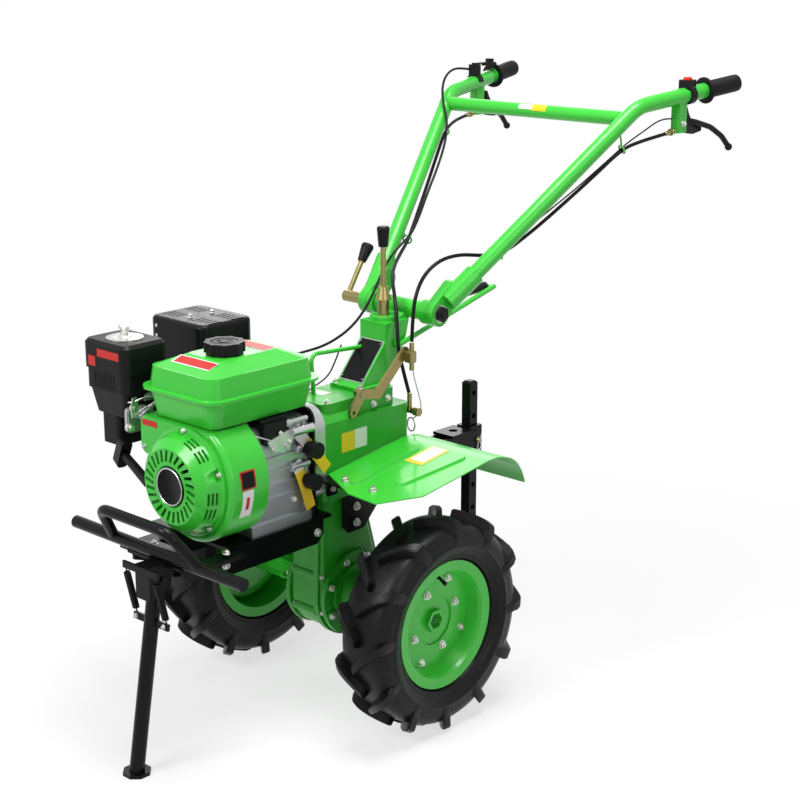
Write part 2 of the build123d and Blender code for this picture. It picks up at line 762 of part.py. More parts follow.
# Engine frame, bumper and stand bracket
deck_back = COLUMN_FRONT - FLANGE_RISE - 1
with BuildPart() as engine_frame:
    for side in (1, -1):
        with BuildSketch(side_plane(side * RAIL_X - PLATE_T / 2)):
            with BuildLine():
                Polyline(
                    (RAIL_FRONT, ENGINE_BASE - PLATE_T),
                    (RAIL_FRONT, ENGINE_BASE - PLATE_T - RAIL_H / 2),
                    (RAIL_FRONT + 60, ENGINE_BASE - PLATE_T - RAIL_H),
                    (RAIL_BACK - 16, ENGINE_BASE - PLATE_T - RAIL_H),
                    (RAIL_BACK, ENGINE_BASE - PLATE_T - RAIL_H + 16),
                    (RAIL_BACK, ENGINE_BASE - PLATE_T),
                    close=True,
                )
            make_face()
        extrude(amount=PLATE_T)
    with BuildSketch(level_plane(ENGINE_BASE - PLATE_T)):
        with Locations(((DECK_RIGHT + RAIL_X + PLATE_T / 2) / 2, (DECK_PLATE_FRONT + ENGINE_BACK) / 2)):
            Rectangle(RAIL_X + PLATE_T / 2 - DECK_RIGHT, ENGINE_BACK - DECK_PLATE_FRONT)
        with Locations((0, (ENGINE_BACK + deck_back) / 2)):
            Rectangle(2 * RAIL_X + PLATE_T, deck_back - ENGINE_BACK)
    extrude(amount=PLATE_T)
    with BuildSketch(level_plane(ENGINE_BASE - 2 * PLATE_T)):
        with Locations((0, RAIL_FRONT + 20)):
            Rectangle(2 * RAIL_X + PLATE_T, 60)
        for side in (1, -1):
            with Locations((side * BUMPER_ARM_X, (BUMPER_Y + DECK_PLATE_FRONT) / 2 + 8)):
                Rectangle(BUMPER_ARM_W, DECK_PLATE_FRONT - BUMPER_Y + 16)
    extrude(amount=PLATE_T)
    with BuildSketch(front_plane(RAIL_BACK - 40)):
        with Locations((0, ENGINE_BASE - PLATE_T - RAIL_H / 2)):
            Rectangle(2 * RAIL_X, RAIL_H)
    extrude(amount=PLATE_T)
save(engine_frame, "engine_frame")

loop = [
    spot(-LOOP_FOOT_X, BUMPER_Y, BUMPER_Z),
    spot(-LOOP_TOP_X, LOOP_TOP_Y, LOOP_TOP_Z),
    spot(LOOP_TOP_X, LOOP_TOP_Y, LOOP_TOP_Z),
    spot(LOOP_FOOT_X, BUMPER_Y, BUMPER_Z),
]
with BuildPart() as bumper:
    add(tube_along([spot(-BUMPER_HALF, BUMPER_Y, BUMPER_Z), spot(BUMPER_HALF, BUMPER_Y, BUMPER_Z)], 0, BUMPER_D).part)
    add(tube_along(loop, 26, LOOP_D).part)
save(bumper, "bumper")

plate_bottom = ENGINE_BASE - 2 * PLATE_T
with BuildPart() as stand_bracket:
    for side in (1, -1):
        with BuildSketch(side_plane(side * (CHEEK_GAP + CHEEK_T) / 2 - CHEEK_T / 2)):
            with BuildLine():
                Polyline(
                    (WEB_Y, WEB_BOTTOM),
                    (STAND_PIN_Y + 16, STAND_PIN_Z - 16),
                    (STAND_PIN_Y + 26, plate_bottom),
                    (WEB_Y, plate_bottom),
                    close=True,
                )
            make_face()
        extrude(amount=CHEEK_T)
    with BuildSketch(front_plane(WEB_Y)):
        with Locations((0, (WEB_BOTTOM + plate_bottom) / 2)):
            Rectangle(CHEEK_GAP + 2 * CHEEK_T, plate_bottom - WEB_BOTTOM)
    extrude(amount=3)
    with BuildSketch(level_plane(plate_bottom)):
        with Locations((0, (WEB_Y - 3 + STAND_PIN_Y + 26) / 2)):
            Rectangle(CHEEK_GAP + 2 * CHEEK_T, STAND_PIN_Y + 29 - WEB_Y)
    extrude(amount=-3)
    with BuildSketch(front_plane(WEB_Y - 3)):
        with Locations((0, SPRING_BAR_Z)):
            Rectangle(2 * SPRING_X + 6, BAR_H)
    extrude(amount=BAR_T)
    with BuildSketch(side_plane(-CHEEK_GAP / 2 - CHEEK_T - 3)):
        with Locations((STAND_PIN_Y, STAND_PIN_Z)):
            Circle(STAND_PIN_D / 2)
    extrude(amount=CHEEK_GAP + 2 * CHEEK_T + 6)
save(stand_bracket, "stand_bracket")

# Stand leg
pin = spot(0, STAND_PIN_Y, STAND_PIN_Z)
foot = spot(0, -STAND_REACH, FOOT_T)
leg_run = foot - pin
leg_dir = leg_run.normalized()
bar = pin + leg_dir * LEG_BAR_DROP
with BuildPart() as stand_leg:
    with BuildSketch(Plane(origin=pin - leg_dir * 15, x_dir=(1, 0, 0), z_dir=leg_dir)):
        Circle(LEG_D / 2)
    extrude(amount=leg_run.length + 15 + 4)
    with BuildSketch(level_plane(0, 0, -STAND_REACH)):
        RegularPolygon(FOOT_D / 2 / cos(pi / 8), 8, rotation=22.5)
    extrude(amount=FOOT_T)
    with BuildSketch(level_plane(-30, 0, -STAND_REACH)):
        Rectangle(100, 100)
    extrude(amount=30, mode=Mode.SUBTRACT)
    with BuildSketch(side_plane(-LEG_D)):
        with Locations((STAND_PIN_Y, STAND_PIN_Z)):
            Circle(STAND_PIN_D / 2 + SHAFT_FIT)
    extrude(amount=2 * LEG_D, mode=Mode.SUBTRACT)
    with BuildSketch(Plane(origin=bar, x_dir=(1, 0, 0), z_dir=leg_dir.cross(Vector(1, 0, 0)))):
        Rectangle(2 * SPRING_X + 6, BAR_H)
    extrude(amount=BAR_T / 2, both=True)
save(stand_leg, "stand_leg")

spring_top = spot(0, SPRING_BAR_Y, SPRING_BAR_Z - BAR_H / 2)
spring_end = bar - leg_dir * BAR_H / 2
with BuildPart() as stand_springs:
    for side in (1, -1):
        across = Vector(side * (SPRING_X - 3), 0, 0)
        run = (spring_end - spring_top).normalized()
        with BuildSketch(Plane(origin=spring_top + across + run * 1.6, x_dir=(1, 0, 0), z_dir=run)):
            Circle(SPRING_D / 2)
        extrude(amount=(spring_end - spring_top).length - 4)
save(stand_springs, "stand_springs")

def strap(points, width):
    """Round-ended flats from point to point on the sketch's plane."""
    for (x1, y1), (x2, y2) in zip(points, points[1:]):
        with Locations(((x1 + x2) / 2, (y1 + y2) / 2)):
            SlotCenterToCenter(hypot(x2 - x1, y2 - y1), width, rotation=degrees(atan2(y2 - y1, x2 - x1)))


# Handle column, pivot and levers on the gearbox
with BuildPart() as handle_column:
    with BuildSketch(side_plane(-32)):
        with BuildLine():
            Polyline(
                (30, DECK_TOP),
                (DECK_BACK - 6, DECK_TOP),
                (158, 660),
                (166, 690),
                (102, 690),
                (102, 656),
                (40, 584),
                close=True,
            )
        make_face()
    extrude(amount=64)
    with BuildSketch(level_plane(DECK_TOP, 0, DECK_BACK - 44)):
        RectangleRounded(84, 84, 10)
    extrude(amount=7)
    with BuildSketch(side_plane(-20)):
        with BuildLine():
            Polyline((150, 660), (150, 690), (PIVOT_Y, PIVOT_Z + 6), (PIVOT_Y, PIVOT_Z - 12), close=True)
        make_face()
    extrude(amount=40)
    with BuildSketch(side_plane(-PIVOT_HALF)):
        with Locations((PIVOT_Y, PIVOT_Z)):
            Circle(PIVOT_TUBE_D / 2)
    extrude(amount=2 * PIVOT_HALF)
    with BuildSketch(side_plane(-PIVOT_HALF - DISC_T)):
        with Locations((PIVOT_Y, PIVOT_Z)):
            Circle(DISC_D / 2)
    extrude(amount=DISC_T)
    with BuildSketch(side_plane(PIVOT_HALF)):
        with Locations((PIVOT_Y, PIVOT_Z)):
            Circle(DISC_D / 2)
    extrude(amount=DISC_T)
    with BuildSketch(side_plane(-PIVOT_HALF - DISC_T - 1)):
        with Locations((PIVOT_Y, PIVOT_Z)):
            Circle(CLAMP_BOLT_D / 2 + SHAFT_FIT)
    extrude(amount=2 * (PIVOT_HALF + DISC_T + 1), mode=Mode.SUBTRACT)
    with BuildSketch(level_plane(690, 0, 131)):
        Circle(26)
    extrude(amount=8)
    add(tube_along([spot(-20, 96, 641), spot(-20, -38, 650), spot(-20, -32, DECK_TOP)], 14, STAY_D).part)
save(handle_column, "handle_column")

with BuildPart() as gear_lever:
    with BuildSketch(level_plane(698, 0, 131)):
        Circle(11)
    extrude(amount=30)
    with BuildSketch(level_plane(728, 0, 131)):
        Circle(14)
    extrude(amount=24, taper=14)
    with BuildSketch(level_plane(752, 0, 131)):
        Circle(5.5)
    extrude(amount=74)
save(gear_lever, "gear_lever")

with BuildPart() as lever_knobs:
    with BuildSketch(level_plane(826, 0, 131)):
        Circle(9)
    with BuildSketch(level_plane(864, 0, 131)):
        Circle(12.5)
    loft()
    fillet(lever_knobs.faces().sort_by(Axis.Z)[-1].edges(), 5)
    with BuildSketch(front_plane(395.5, 22, 715)):
        Circle(9)
    with BuildSketch(front_plane(330, 22, 715)):
        Circle(12.5)
    loft()
save(lever_knobs, "lever_knobs")

with BuildPart() as reverse_lever:
    add(tube_along([spot(39, 130, 647), spot(39, 404, 716)], 0, 10).part)
    add(tube_along([spot(39, 400, 715), spot(20, 400, 715)], 0, 8).part)
    add(tube_along([spot(41, 132, 647.5), spot(32.3, 132, 647.5)], 0, 14).part)
save(reverse_lever, "reverse_lever")

with BuildPart() as clutch_arm:
    with BuildSketch(side_plane(61)):
        strap([(-17, 553), (7, 583), (47, 575), (120, 641)], 18)
        with Locations((-17, 553)):
            Circle(4, mode=Mode.SUBTRACT)
    extrude(amount=6)
    with BuildSketch(side_plane(DECK_W / 2)):
        with Locations((7, 583)):
            Circle(8)
    extrude(amount=18)
    with BuildSketch(side_plane(67)):
        with Locations((124, 632)):
            RectangleRounded(16, 22, 3)
    extrude(amount=15)
    with BuildSketch(level_plane(606, 75, 127)):
        Circle(4.5)
    extrude(amount=52)
save(clutch_arm, "clutch_arm")

with BuildPart() as shift_stud:
    with BuildSketch(side_plane(14)):
        with Locations((BOX_BACK + 7.2, 521.5)):
            RectangleRounded(14, 18, 2)
    extrude(amount=10)
    with BuildSketch(side_plane(20)):
        with Locations((BOX_BACK + 8, 521.5)):
            Circle(6)
    extrude(amount=46)
    with BuildSketch(side_plane(64)):
        with Locations((BOX_BACK + 8, 521.5)):
            Circle(8)
    extrude(amount=12)
    with BuildSketch(level_plane(521.5, 54, BOX_BACK + 5)):
        Circle(4.5)
    extrude(amount=34)
save(shift_stud, "shift_stud")

# Handlebar
pivot_left = spot(ARM_X, PIVOT_Y, PIVOT_Z)
bend_left = spot(BEND_X, BEND_Y, BEND_Z)
grip_end = spot(GRIP_X, GRIP_REACH, GRIP_END_Z)
grip_dir = (grip_end - bend_left).normalized()
tube_dir = (bend_left - pivot_left).normalized()
socket_start = pivot_left + tube_dir * SOCKET_FROM
cross_left = pivot_left + (bend_left - pivot_left) * CROSSBAR_T

tube_route = [socket_start, bend_left, grip_end - grip_dir * GRIP_END_T]
left_tube = tube_along(tube_route, BEND_R, TUBE_D, TUBE_WALL).part
tube_solid = tube_along(tube_route, BEND_R, TUBE_D).part
tube_bore = tube_along(tube_route, BEND_R, TUBE_D - 2 * TUBE_WALL).part
with BuildPart() as handle_tubes:
    add(left_tube)
    add(mirror(left_tube, about=Plane.YZ))
    add(tube_along([Vector(-cross_left.X, cross_left.Y, cross_left.Z), cross_left], 0, CROSSBAR_D).part)
    add(tube_bore, mode=Mode.SUBTRACT)
    add(mirror(tube_bore, about=Plane.YZ), mode=Mode.SUBTRACT)
save(handle_tubes, "handle_tubes")

disc_face = PIVOT_HALF + DISC_T + DISC_GAP
with BuildPart() as handle_arm:
    with BuildSketch(side_plane(disc_face)):
        with Locations((PIVOT_Y, PIVOT_Z)):
            Circle(DISC_D / 2)
    extrude(amount=DISC_T)
    with BuildSketch(side_plane(disc_face + DISC_T)):
        with Locations((PIVOT_Y, PIVOT_Z)):
            Circle(CHEEK_R)
        with Locations((socket_start.Y - AXLE_Y + 12, socket_start.Z + 11)):
            Circle(SOCKET_D / 2)
        make_hull()
    extrude(amount=ARM_T)
    with BuildSketch(Plane(origin=pivot_left + tube_dir * (SOCKET_FROM - 10), z_dir=tube_dir)):
        Circle(SOCKET_D / 2)
    extrude(amount=SOCKET_TO - SOCKET_FROM + 10)
    with BuildSketch(side_plane(disc_face - 1)):
        with Locations((PIVOT_Y, PIVOT_Z)):
            Circle(CLAMP_BOLT_D / 2)
    extrude(amount=DISC_T + ARM_T + 2, mode=Mode.SUBTRACT)
    with BuildSketch(side_plane(disc_face - 20)):
        with Locations((PIVOT_Y, PIVOT_Z)):
            Circle(SOCKET_TO + 20)
    extrude(amount=20, mode=Mode.SUBTRACT)
    add(tube_solid, mode=Mode.SUBTRACT)
save_pair(handle_arm, "handle_arm")

arm_face = disc_face + DISC_T + ARM_T
with BuildPart() as clamp_crank:
    with BuildSketch(side_plane(CRANK_END_X)):
        with Locations((PIVOT_Y, PIVOT_Z)):
            Circle(CLAMP_BOLT_D / 2)
    extrude(amount=arm_face - CRANK_END_X)
    with BuildSketch(side_plane(arm_face)):
        with Locations((PIVOT_Y, PIVOT_Z)):
            RegularPolygon(9.5, 6, major_radius=False)
    extrude(amount=8)
    with BuildSketch(side_plane(CRANK_END_X)):
        with Locations((PIVOT_Y, PIVOT_Z)):
            Circle(CRANK_SLEEVE_D / 2)
    extrude(amount=-CRANK_END_X - arm_face)
    add(tube_along([spot(-145, PIVOT_Y, PIVOT_Z), spot(-152, 237, 776)], 0, 10).part)
save(clamp_crank, "clamp_crank")

with BuildPart() as grip:
    with BuildSketch(Plane(origin=grip_end - grip_dir * GRIP_L, z_dir=grip_dir)):
        Circle(GRIP_D / 2)
        Circle(TUBE_D / 2, mode=Mode.SUBTRACT)
    extrude(amount=GRIP_L - GRIP_END_T)
    with BuildSketch(Plane(origin=grip_end - grip_dir * GRIP_L, z_dir=grip_dir)):
        Circle(GRIP_COLLAR_D / 2)
        Circle(TUBE_D / 2, mode=Mode.SUBTRACT)
    extrude(amount=5)
    with BuildSketch(Plane(origin=grip_end - grip_dir * GRIP_END_T, z_dir=grip_dir)):
        Circle(GRIP_D / 2)
    extrude(amount=GRIP_END_T)
save_pair(grip, "grip")


def on_tube(y):
    """The place on the left tube's axis, past its bend, at y behind the axle."""
    share = (y - BEND_Y) / (GRIP_REACH - BEND_Y)
    return bend_left + (grip_end - bend_left) * share


low_ring = spot(118, 324, 799.5)
high_ring = spot(223.5, 554, 983.5)
with BuildPart() as lever_bracket:
    with BuildSketch(level_plane(BRACKET_LOW, on_tube(BRACKET_Y).X, BRACKET_Y)):
        Rectangle(BRACKET_W, BRACKET_L)
        with Locations((0, BRACKET_L / 2)):
            Rectangle(BRACKET_W - 8, BRACKET_L, mode=Mode.SUBTRACT)
    extrude(amount=on_tube(BRACKET_Y).Z - BRACKET_LOW)
    with BuildSketch(front_plane(BRACKET_Y - BRACKET_L / 2, 255.5, 1009.5)):
        Circle(5)
    extrude(amount=BRACKET_Y - BRACKET_L / 2 - CABLE_START_Y - 1.5)
    for centre, ahead, target in (
        (low_ring, Vector(-24, -50, -18), pivot_left + tube_dir * 190),
        (high_ring, Vector(-20, -47, -30), pivot_left + tube_dir * 505),
    ):
        with Locations(Plane(origin=centre, z_dir=ahead)):
            Torus(RING_R, RING_WIRE / 2)
        stem = (target - centre).normalized()
        add(tube_along([centre + stem * RING_R, target], 0, RING_WIRE).part)
    add(tube_solid, mode=Mode.SUBTRACT)
with BuildPart() as lever_brackets:
    add(lever_bracket.part)
    add(mirror(lever_bracket.part, about=Plane.YZ))
save(lever_brackets, "lever_brackets")

lever_route = [
    spot(260, 708.5, 1030),
    spot(268, 735, 1024),
    spot(276, 775, 1012),
    spot(282, 808, 992),
    spot(285, 831, 969),
]
with BuildPart() as hand_lever:
    add(tube_along(lever_route, 55, LEVER_D).part)
    with Locations(lever_route[-1]):
        Sphere(LEVER_D / 2 + 2)
save_pair(hand_lever, "hand_lever")

throttle_at = on_tube(THROTTLE_Y)
with BuildPart() as throttle_lever:
    with BuildSketch(Plane(origin=throttle_at - grip_dir * 7, z_dir=grip_dir)):
        Circle(TUBE_D / 2 + 4)
    extrude(amount=14)
    with BuildSketch(level_plane(throttle_at.Z, throttle_at.X + 1, THROTTLE_Y)):
        Circle(13)
    extrude(amount=38)
    with BuildSketch(level_plane(throttle_at.Z + 38, 0, 0)):
        strap([(throttle_at.X + 1, THROTTLE_Y), (throttle_at.X + 7, THROTTLE_Y + 56)], 13)
    extrude(amount=3)
    with BuildSketch(level_plane(throttle_at.Z + 38, throttle_at.X + 7, THROTTLE_Y + 56)):
        Circle(9)
    extrude(amount=9)
    with BuildSketch(level_plane(throttle_at.Z + 2, throttle_at.X, THROTTLE_Y)):
        Rectangle(60, 60)
    extrude(amount=-40, mode=Mode.SUBTRACT)
    add(tube_solid, mode=Mode.SUBTRACT)
with BuildPart() as throttle_right:
    add(mirror(throttle_lever.part, about=Plane.YZ))
save(throttle_right, "throttle_lever")

switch_at = on_tube(SWITCH_Y)
with BuildPart() as kill_switch:
    with BuildSketch(Plane(origin=switch_at - grip_dir * 7, z_dir=grip_dir)):
        Circle(TUBE_D / 2 + 4)
    extrude(amount=14)
    with BuildSketch(level_plane(switch_at.Z, switch_at.X - 3, SWITCH_Y)):
        RectangleRounded(26, 30, 6)
    extrude(amount=28)
    add(tube_solid, mode=Mode.SUBTRACT)
save(kill_switch, "kill_switch")

# Hitch and depth stake
with BuildPart() as hitch:
    with BuildSketch(level_plane(SLEEVE_TOP - SLEEVE_H, 0, STAKE_Y)):
        Rectangle(STAKE_SIDE + 2 * (SLEEVE_FIT + SLEEVE_WALL), STAKE_SIDE + 2 * (SLEEVE_FIT + SLEEVE_WALL))
        Rectangle(STAKE_SIDE + 2 * SLEEVE_FIT, STAKE_SIDE + 2 * SLEEVE_FIT, mode=Mode.SUBTRACT)
    extrude(amount=SLEEVE_H)
    for side in (1, -1):
        with BuildSketch(side_plane(side * (STAKE_SIDE / 2 + SLEEVE_FIT + SLEEVE_WALL) - 3)):
            with Locations(((BOX_BACK + STAKE_Y) / 2, HITCH_Z)):
                Rectangle(STAKE_Y - BOX_BACK, HITCH_ARM_H)
        extrude(amount=6)
    with BuildSketch(front_plane(BOX_BACK)):
        with Locations((0, HITCH_Z - 3)):
            Rectangle(84, 50)
    extrude(amount=-10)
    with BuildSketch(level_plane(HITCH_Z + HITCH_ARM_H / 2, 0, 331)):
        Rectangle(52, 62)
        Circle(9, mode=Mode.SUBTRACT)
    extrude(amount=6)
    with BuildSketch(side_plane(-HITCH_Z)):
        with Locations((HITCH_PIN_Y, HITCH_Z)):
            Circle(HITCH_PIN_HOLE_D / 2)
    extrude(amount=2 * HITCH_Z, mode=Mode.SUBTRACT)
save(hitch, "hitch")

with BuildPart() as depth_stake:
    with BuildSketch(level_plane(STAKE_TOP - STAKE_L, 0, STAKE_Y)):
        Rectangle(STAKE_SIDE, STAKE_SIDE)
    extrude(amount=STAKE_L)
    chamfer(depth_stake.faces().sort_by(Axis.Z)[-1].edges(), 4)
    with BuildSketch(side_plane(-STAKE_SIDE)):
        for number in range(int(STAKE_L / STAKE_PITCH)):
            with Locations((STAKE_Y, STAKE_TOP - STAKE_PITCH * (number + 0.5))):
                Circle(STAKE_HOLE_D / 2)
    extrude(amount=2 * STAKE_SIDE, mode=Mode.SUBTRACT)
save(depth_stake, "depth_stake")

# Fenders
fender_slope = atan2(FENDER_CREST_Z - FENDER_FRONT_Z, FENDER_CREST_Y - FENDER_FRONT_Y)


def fender_plane(lift):
    """The flat part's underside, raised by lift; its own y runs up the slope."""
    normal = Vector(0, -sin(fender_slope), cos(fender_slope))
    return Plane(origin=spot(0, FENDER_FRONT_Y, FENDER_FRONT_Z) + normal * lift, x_dir=(1, 0, 0), z_dir=normal)


fender_plan = [
    (FENDER_IN, -80),
    (153, -120),
    (224, FENDER_FRONT_Y),
    (FENDER_OUT, -60),
    (FENDER_OUT, 180),
    (FENDER_OUT - 22, 260),
    (FENDER_IN + 22, 260),
    (FENDER_IN, 180),
]
with BuildPart() as fender:
    with BuildSketch(side_plane(FENDER_IN)):
        with BuildLine():
            flat = Line((FENDER_FRONT_Y, FENDER_FRONT_Z), (FENDER_CREST_Y, FENDER_CREST_Z))
            TangentArc(flat @ 1, (236, 404), tangent=flat % 1)
            offset(amount=FENDER_T, side=Side.LEFT)
        make_face()
    extrude(amount=FENDER_OUT - FENDER_IN)
    with BuildSketch(fender_plane(FENDER_T)):
        strap([(133, 47), (123, 208)], 22)
        strap([(205, 85), (222, 222)], 22)
    extrude(amount=RIB_RISE, taper=30)
    with BuildSketch(level_plane(300)):
        with BuildLine():
            Polyline(*fender_plan, close=True)
        make_face()
    extrude(amount=300, mode=Mode.INTERSECT)
save_pair(fender, "fender")

with BuildPart() as fender_bracket:
    with BuildSketch(side_plane(GEARCASE_W / 2)):
        with Locations((2, 369), (2, 338)):
            Circle(8)
    extrude(amount=7)
    with BuildSketch(side_plane(GEARCASE_W / 2 + 6)):
        with BuildLine():
            Polyline((-30, 396), (95, 396), (22, 322), (-18, 322), (-30, 336), close=True)
        make_face()
    extrude(amount=4)
    with BuildSketch(fender_plane(0)):
        with Locations(((BOX_W / 2 + 5 + 190) / 2, 44)):
            Rectangle(190 - BOX_W / 2 - 5, 44)
    extrude(amount=-4)
    with BuildSketch(side_plane(BOX_W / 2 + 2.3)):
        with BuildLine():
            Polyline((-84, 412), (-60, 412), (-60, 449), (-84, 447), close=True)
        make_face()
    extrude(amount=4)
with BuildPart() as fender_brackets:
    add(fender_bracket.part)
    add(mirror(fender_bracket.part, about=Plane.YZ))
save(fender_brackets, "fender_brackets")

# Control cables, each in one length from its lever to what it works
clutch_route = [
    spot(255, 672, 1009),
    spot(250, 634, 1004),
    spot(240, 594, 997),
    spot(224, 555, 985),
    spot(199, 499, 935),
    spot(172, 442, 886),
    spot(145, 383, 838),
    spot(118, 324, 797),
    spot(97, 284, 801),
    spot(87, 241, 807),
    spot(80, 197, 802),
    spot(76, 160, 781),
    spot(75, 137, 747),
    spot(75, 129, 704),
    spot(75, 127, 660),
]
shift_route = [
    spot(-255, 672, 1009),
    spot(-250, 634, 1004),
    spot(-240, 594, 997),
    spot(-224, 555, 985),
    spot(-198, 497, 936),
    spot(-171, 440, 888),
    spot(-145, 383, 841),
    spot(-118, 326, 797),
    spot(-92, 276, 781),
    spot(-62, 226, 768),
    spot(-24, 180, 754),
    spot(14, 147, 732),
    spot(41, 124, 692),
    spot(52, 115, 645),
    spot(55, 126, 600),
    spot(54, 142, 557),
]
throttle_route = [
    spot(-256, 668, 1102),
    spot(-257, 636, 1107),
    spot(-253, 604, 1104),
    spot(-245, 576, 1091),
    spot(-231, 552, 1070),
    spot(-210, 532, 1044),
    spot(-186, 518, 1012),
    spot(-174, 500, 972),
    spot(-166, 468, 925),
    spot(-149, 418, 879),
    spot(-125, 366, 838),
    spot(-106, 322, 811),
    spot(-88, 274, 800),
    spot(-72, 228, 786),
    spot(-60, 190, 760),
    spot(-53, 160, 728),
    spot(-49, 132, 700),
    spot(-51, 106, 677),
    spot(-60, 82, 658),
    spot(-82, 56, 638),
    spot(-106, 24, 628),
    spot(-124, -14, 620),
    spot(-130, -52, 606),
]
for name, route, thickness in (
    ("clutch_cable", clutch_route, CABLE_D),
    ("shift_cable", shift_route, CABLE_D),
    ("throttle_cable", throttle_route, THROTTLE_D),
):
    radii = bend_radii(route)
    cable = tube_along(route, radii, thickness)
    length = cable.part.volume / (pi * (thickness / 2) ** 2)
    print(name, "radii", [round(radius) for radius in radii], "length", round(length))
    save(cable, name)
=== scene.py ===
"""A walk-behind power tiller: finishes, fasteners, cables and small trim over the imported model."""

import json
from math import cos, pi, radians, sin

import bmesh
import bpy
from mathutils import Matrix, Vector


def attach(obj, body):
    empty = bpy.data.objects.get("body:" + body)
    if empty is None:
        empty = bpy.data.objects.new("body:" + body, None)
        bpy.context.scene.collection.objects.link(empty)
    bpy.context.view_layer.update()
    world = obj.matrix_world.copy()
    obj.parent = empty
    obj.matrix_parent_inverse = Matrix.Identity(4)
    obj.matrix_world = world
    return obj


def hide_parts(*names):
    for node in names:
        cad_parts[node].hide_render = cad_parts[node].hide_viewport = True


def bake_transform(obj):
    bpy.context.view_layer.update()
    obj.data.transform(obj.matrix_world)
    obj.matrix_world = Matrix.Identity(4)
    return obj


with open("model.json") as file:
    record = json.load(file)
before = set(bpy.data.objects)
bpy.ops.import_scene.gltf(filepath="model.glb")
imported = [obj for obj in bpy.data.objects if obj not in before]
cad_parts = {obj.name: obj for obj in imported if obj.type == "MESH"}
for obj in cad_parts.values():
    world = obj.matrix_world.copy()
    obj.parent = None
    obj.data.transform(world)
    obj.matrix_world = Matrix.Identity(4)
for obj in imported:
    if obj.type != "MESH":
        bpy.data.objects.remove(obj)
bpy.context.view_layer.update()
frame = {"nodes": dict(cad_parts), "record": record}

AXLE_Y = -0.1715  # the wheels' axle line, in metres from the middle of the overall length
AXLE_Z, CRANKSHAFT_Z = 201, 490  # in millimetres above the floor
LEFT, RIGHT = 1, -1
SIDES = ((LEFT, "left"), (RIGHT, "right"))
TO_LEFT, TO_FRONT, TO_BACK, UP = (1, 0, 0), (0, -1, 0), (0, 1, 0), (0, 0, 1)


def spot(x, y, z):
    """A place in millimetres across, behind the axle line and above the floor."""
    return Vector((x / 1000, AXLE_Y + y / 1000, z / 1000))


# Node trees
class Value:
    """A socket's value, which adds its own Math nodes when it is used in a sum."""

    def __init__(self, graph, socket):
        self.graph, self.socket = graph, socket

    def maths(self, operation, first, second):
        return self.graph.node("ShaderNodeMath", {"operation": operation}, {0: first, 1: second})

    def __add__(self, other):
        return self.maths("ADD", self, other)

    def __sub__(self, other):
        return self.maths("SUBTRACT", self, other)

    def __rsub__(self, other):
        return self.maths("SUBTRACT", other, self)

    def __mul__(self, other):
        return self.maths("MULTIPLY", self, other)

    def __truediv__(self, other):
        return self.maths("DIVIDE", self, other)

    def __rtruediv__(self, other):
        return self.maths("DIVIDE", other, self)

    def __gt__(self, other):
        return self.maths("GREATER_THAN", self, other)

    __radd__ = __add__
    __rmul__ = __mul__


class Graph:
    """A node tree that makes its nodes in one call each."""

    def __init__(self, tree):
        self.tree = tree

    def node(self, kind, settings, values, output=0):
        """Adds a node: its settings first, then its sockets' values or links."""
        made = self.tree.nodes.new(kind)
        for name, setting in settings.items():
            setattr(made, name, setting)
        for name, value in values.items():
            if isinstance(value, Value):
                self.tree.links.new(value.socket, made.inputs[name])
            else:
                made.inputs[name].default_value = value
        if len(made.outputs):
            return Value(self, made.outputs[output])


class Finish(Graph):
    """A material: its fixed sockets, then whatever varies over the surface."""

    def __init__(self, name, colour, roughness, metallic=0.0, **fixed):
        self.material = bpy.data.materials.new(name)
        self.material.use_nodes = True
        super().__init__(self.material.node_tree)
        self.shader = self.tree.nodes["Principled BSDF"]
        self.colour, self.roughness = (*colour, 1), roughness
        fixed.update(Base_Color=self.colour, Roughness=roughness, Metallic=metallic)
        for socket, value in fixed.items():
            self.shader.inputs[socket.replace("_", " ")].default_value = value
        self.place = self.node("ShaderNodeTexCoord", {}, {}, "Object")

    def feed(self, socket, value):
        self.tree.links.new(value.socket, self.shader.inputs[socket])

    def noise(self, scale, detail=3.0, stretch=None):
        """Cloudy values from 0 to 1, about scale of them to the metre."""
        where = self.place
        if stretch:
            where = self.node("ShaderNodeMapping", {}, {"Vector": where, "Scale": stretch})
        return self.node("ShaderNodeTexNoise", {}, {"Vector": where, "Scale": scale, "Detail": detail}, "Fac")

    def blend_to(self, share, colour):
        """Goes towards another colour where share is high."""
        self.colour = self.node(
            "ShaderNodeMix", {"data_type": "RGBA"}, {0: share, 6: self.colour, 7: (*colour, 1)}, 2
        )
        self.feed("Base Color", self.colour)

    def uneven_gloss(self, scale, spread):
        self.feed("Roughness", self.noise(scale) * (2 * spread) + (self.roughness - spread))

    def relief(self, height, depth):
        """Bump from a height of 0 to 1, depth millimetres deep."""
        bump = self.node(
            "ShaderNodeBump", {}, {"Height": height, "Strength": 1.0, "Distance": depth / 1000}, "Normal"
        )
        self.feed("Normal", bump)


def shade(colour, factor):
    return tuple(channel * factor for channel in colour)


def paint(name, colour, roughness, peel, coat=0.0, shine=0.35):
    """Sprayed paint: slightly uneven colour and gloss, and the skin of an orange."""
    made = Finish(name, colour, roughness, Coat_Weight=coat, Coat_Roughness=0.08, Specular_IOR_Level=shine)
    made.blend_to(made.noise(5, 3) * 0.6, shade(colour, 0.66))
    made.uneven_gloss(14, 0.07)
    made.relief(made.noise(70, 1), peel)
    return made.material


def casting(name, colour, roughness, metallic, grain, shine=0.5):
    """A sand casting: grainy skin, with painted shade darkening the hollows of its grain."""
    made = Finish(name, colour, roughness, metallic, Specular_IOR_Level=shine)
    grains = made.noise(900, 5)
    made.blend_to(made.noise(18, 5) * 0.55, shade(colour, 0.55))
    # painted shade: the grain's hollows, where its bump is low, are darkened in the colour
    made.blend_to((0.45 - grains) * 0.9, shade(colour, 0.4))
    made.uneven_gloss(40, 0.1)
    made.relief(grains + made.noise(160, 3) * 0.8, grain)
    return made.material


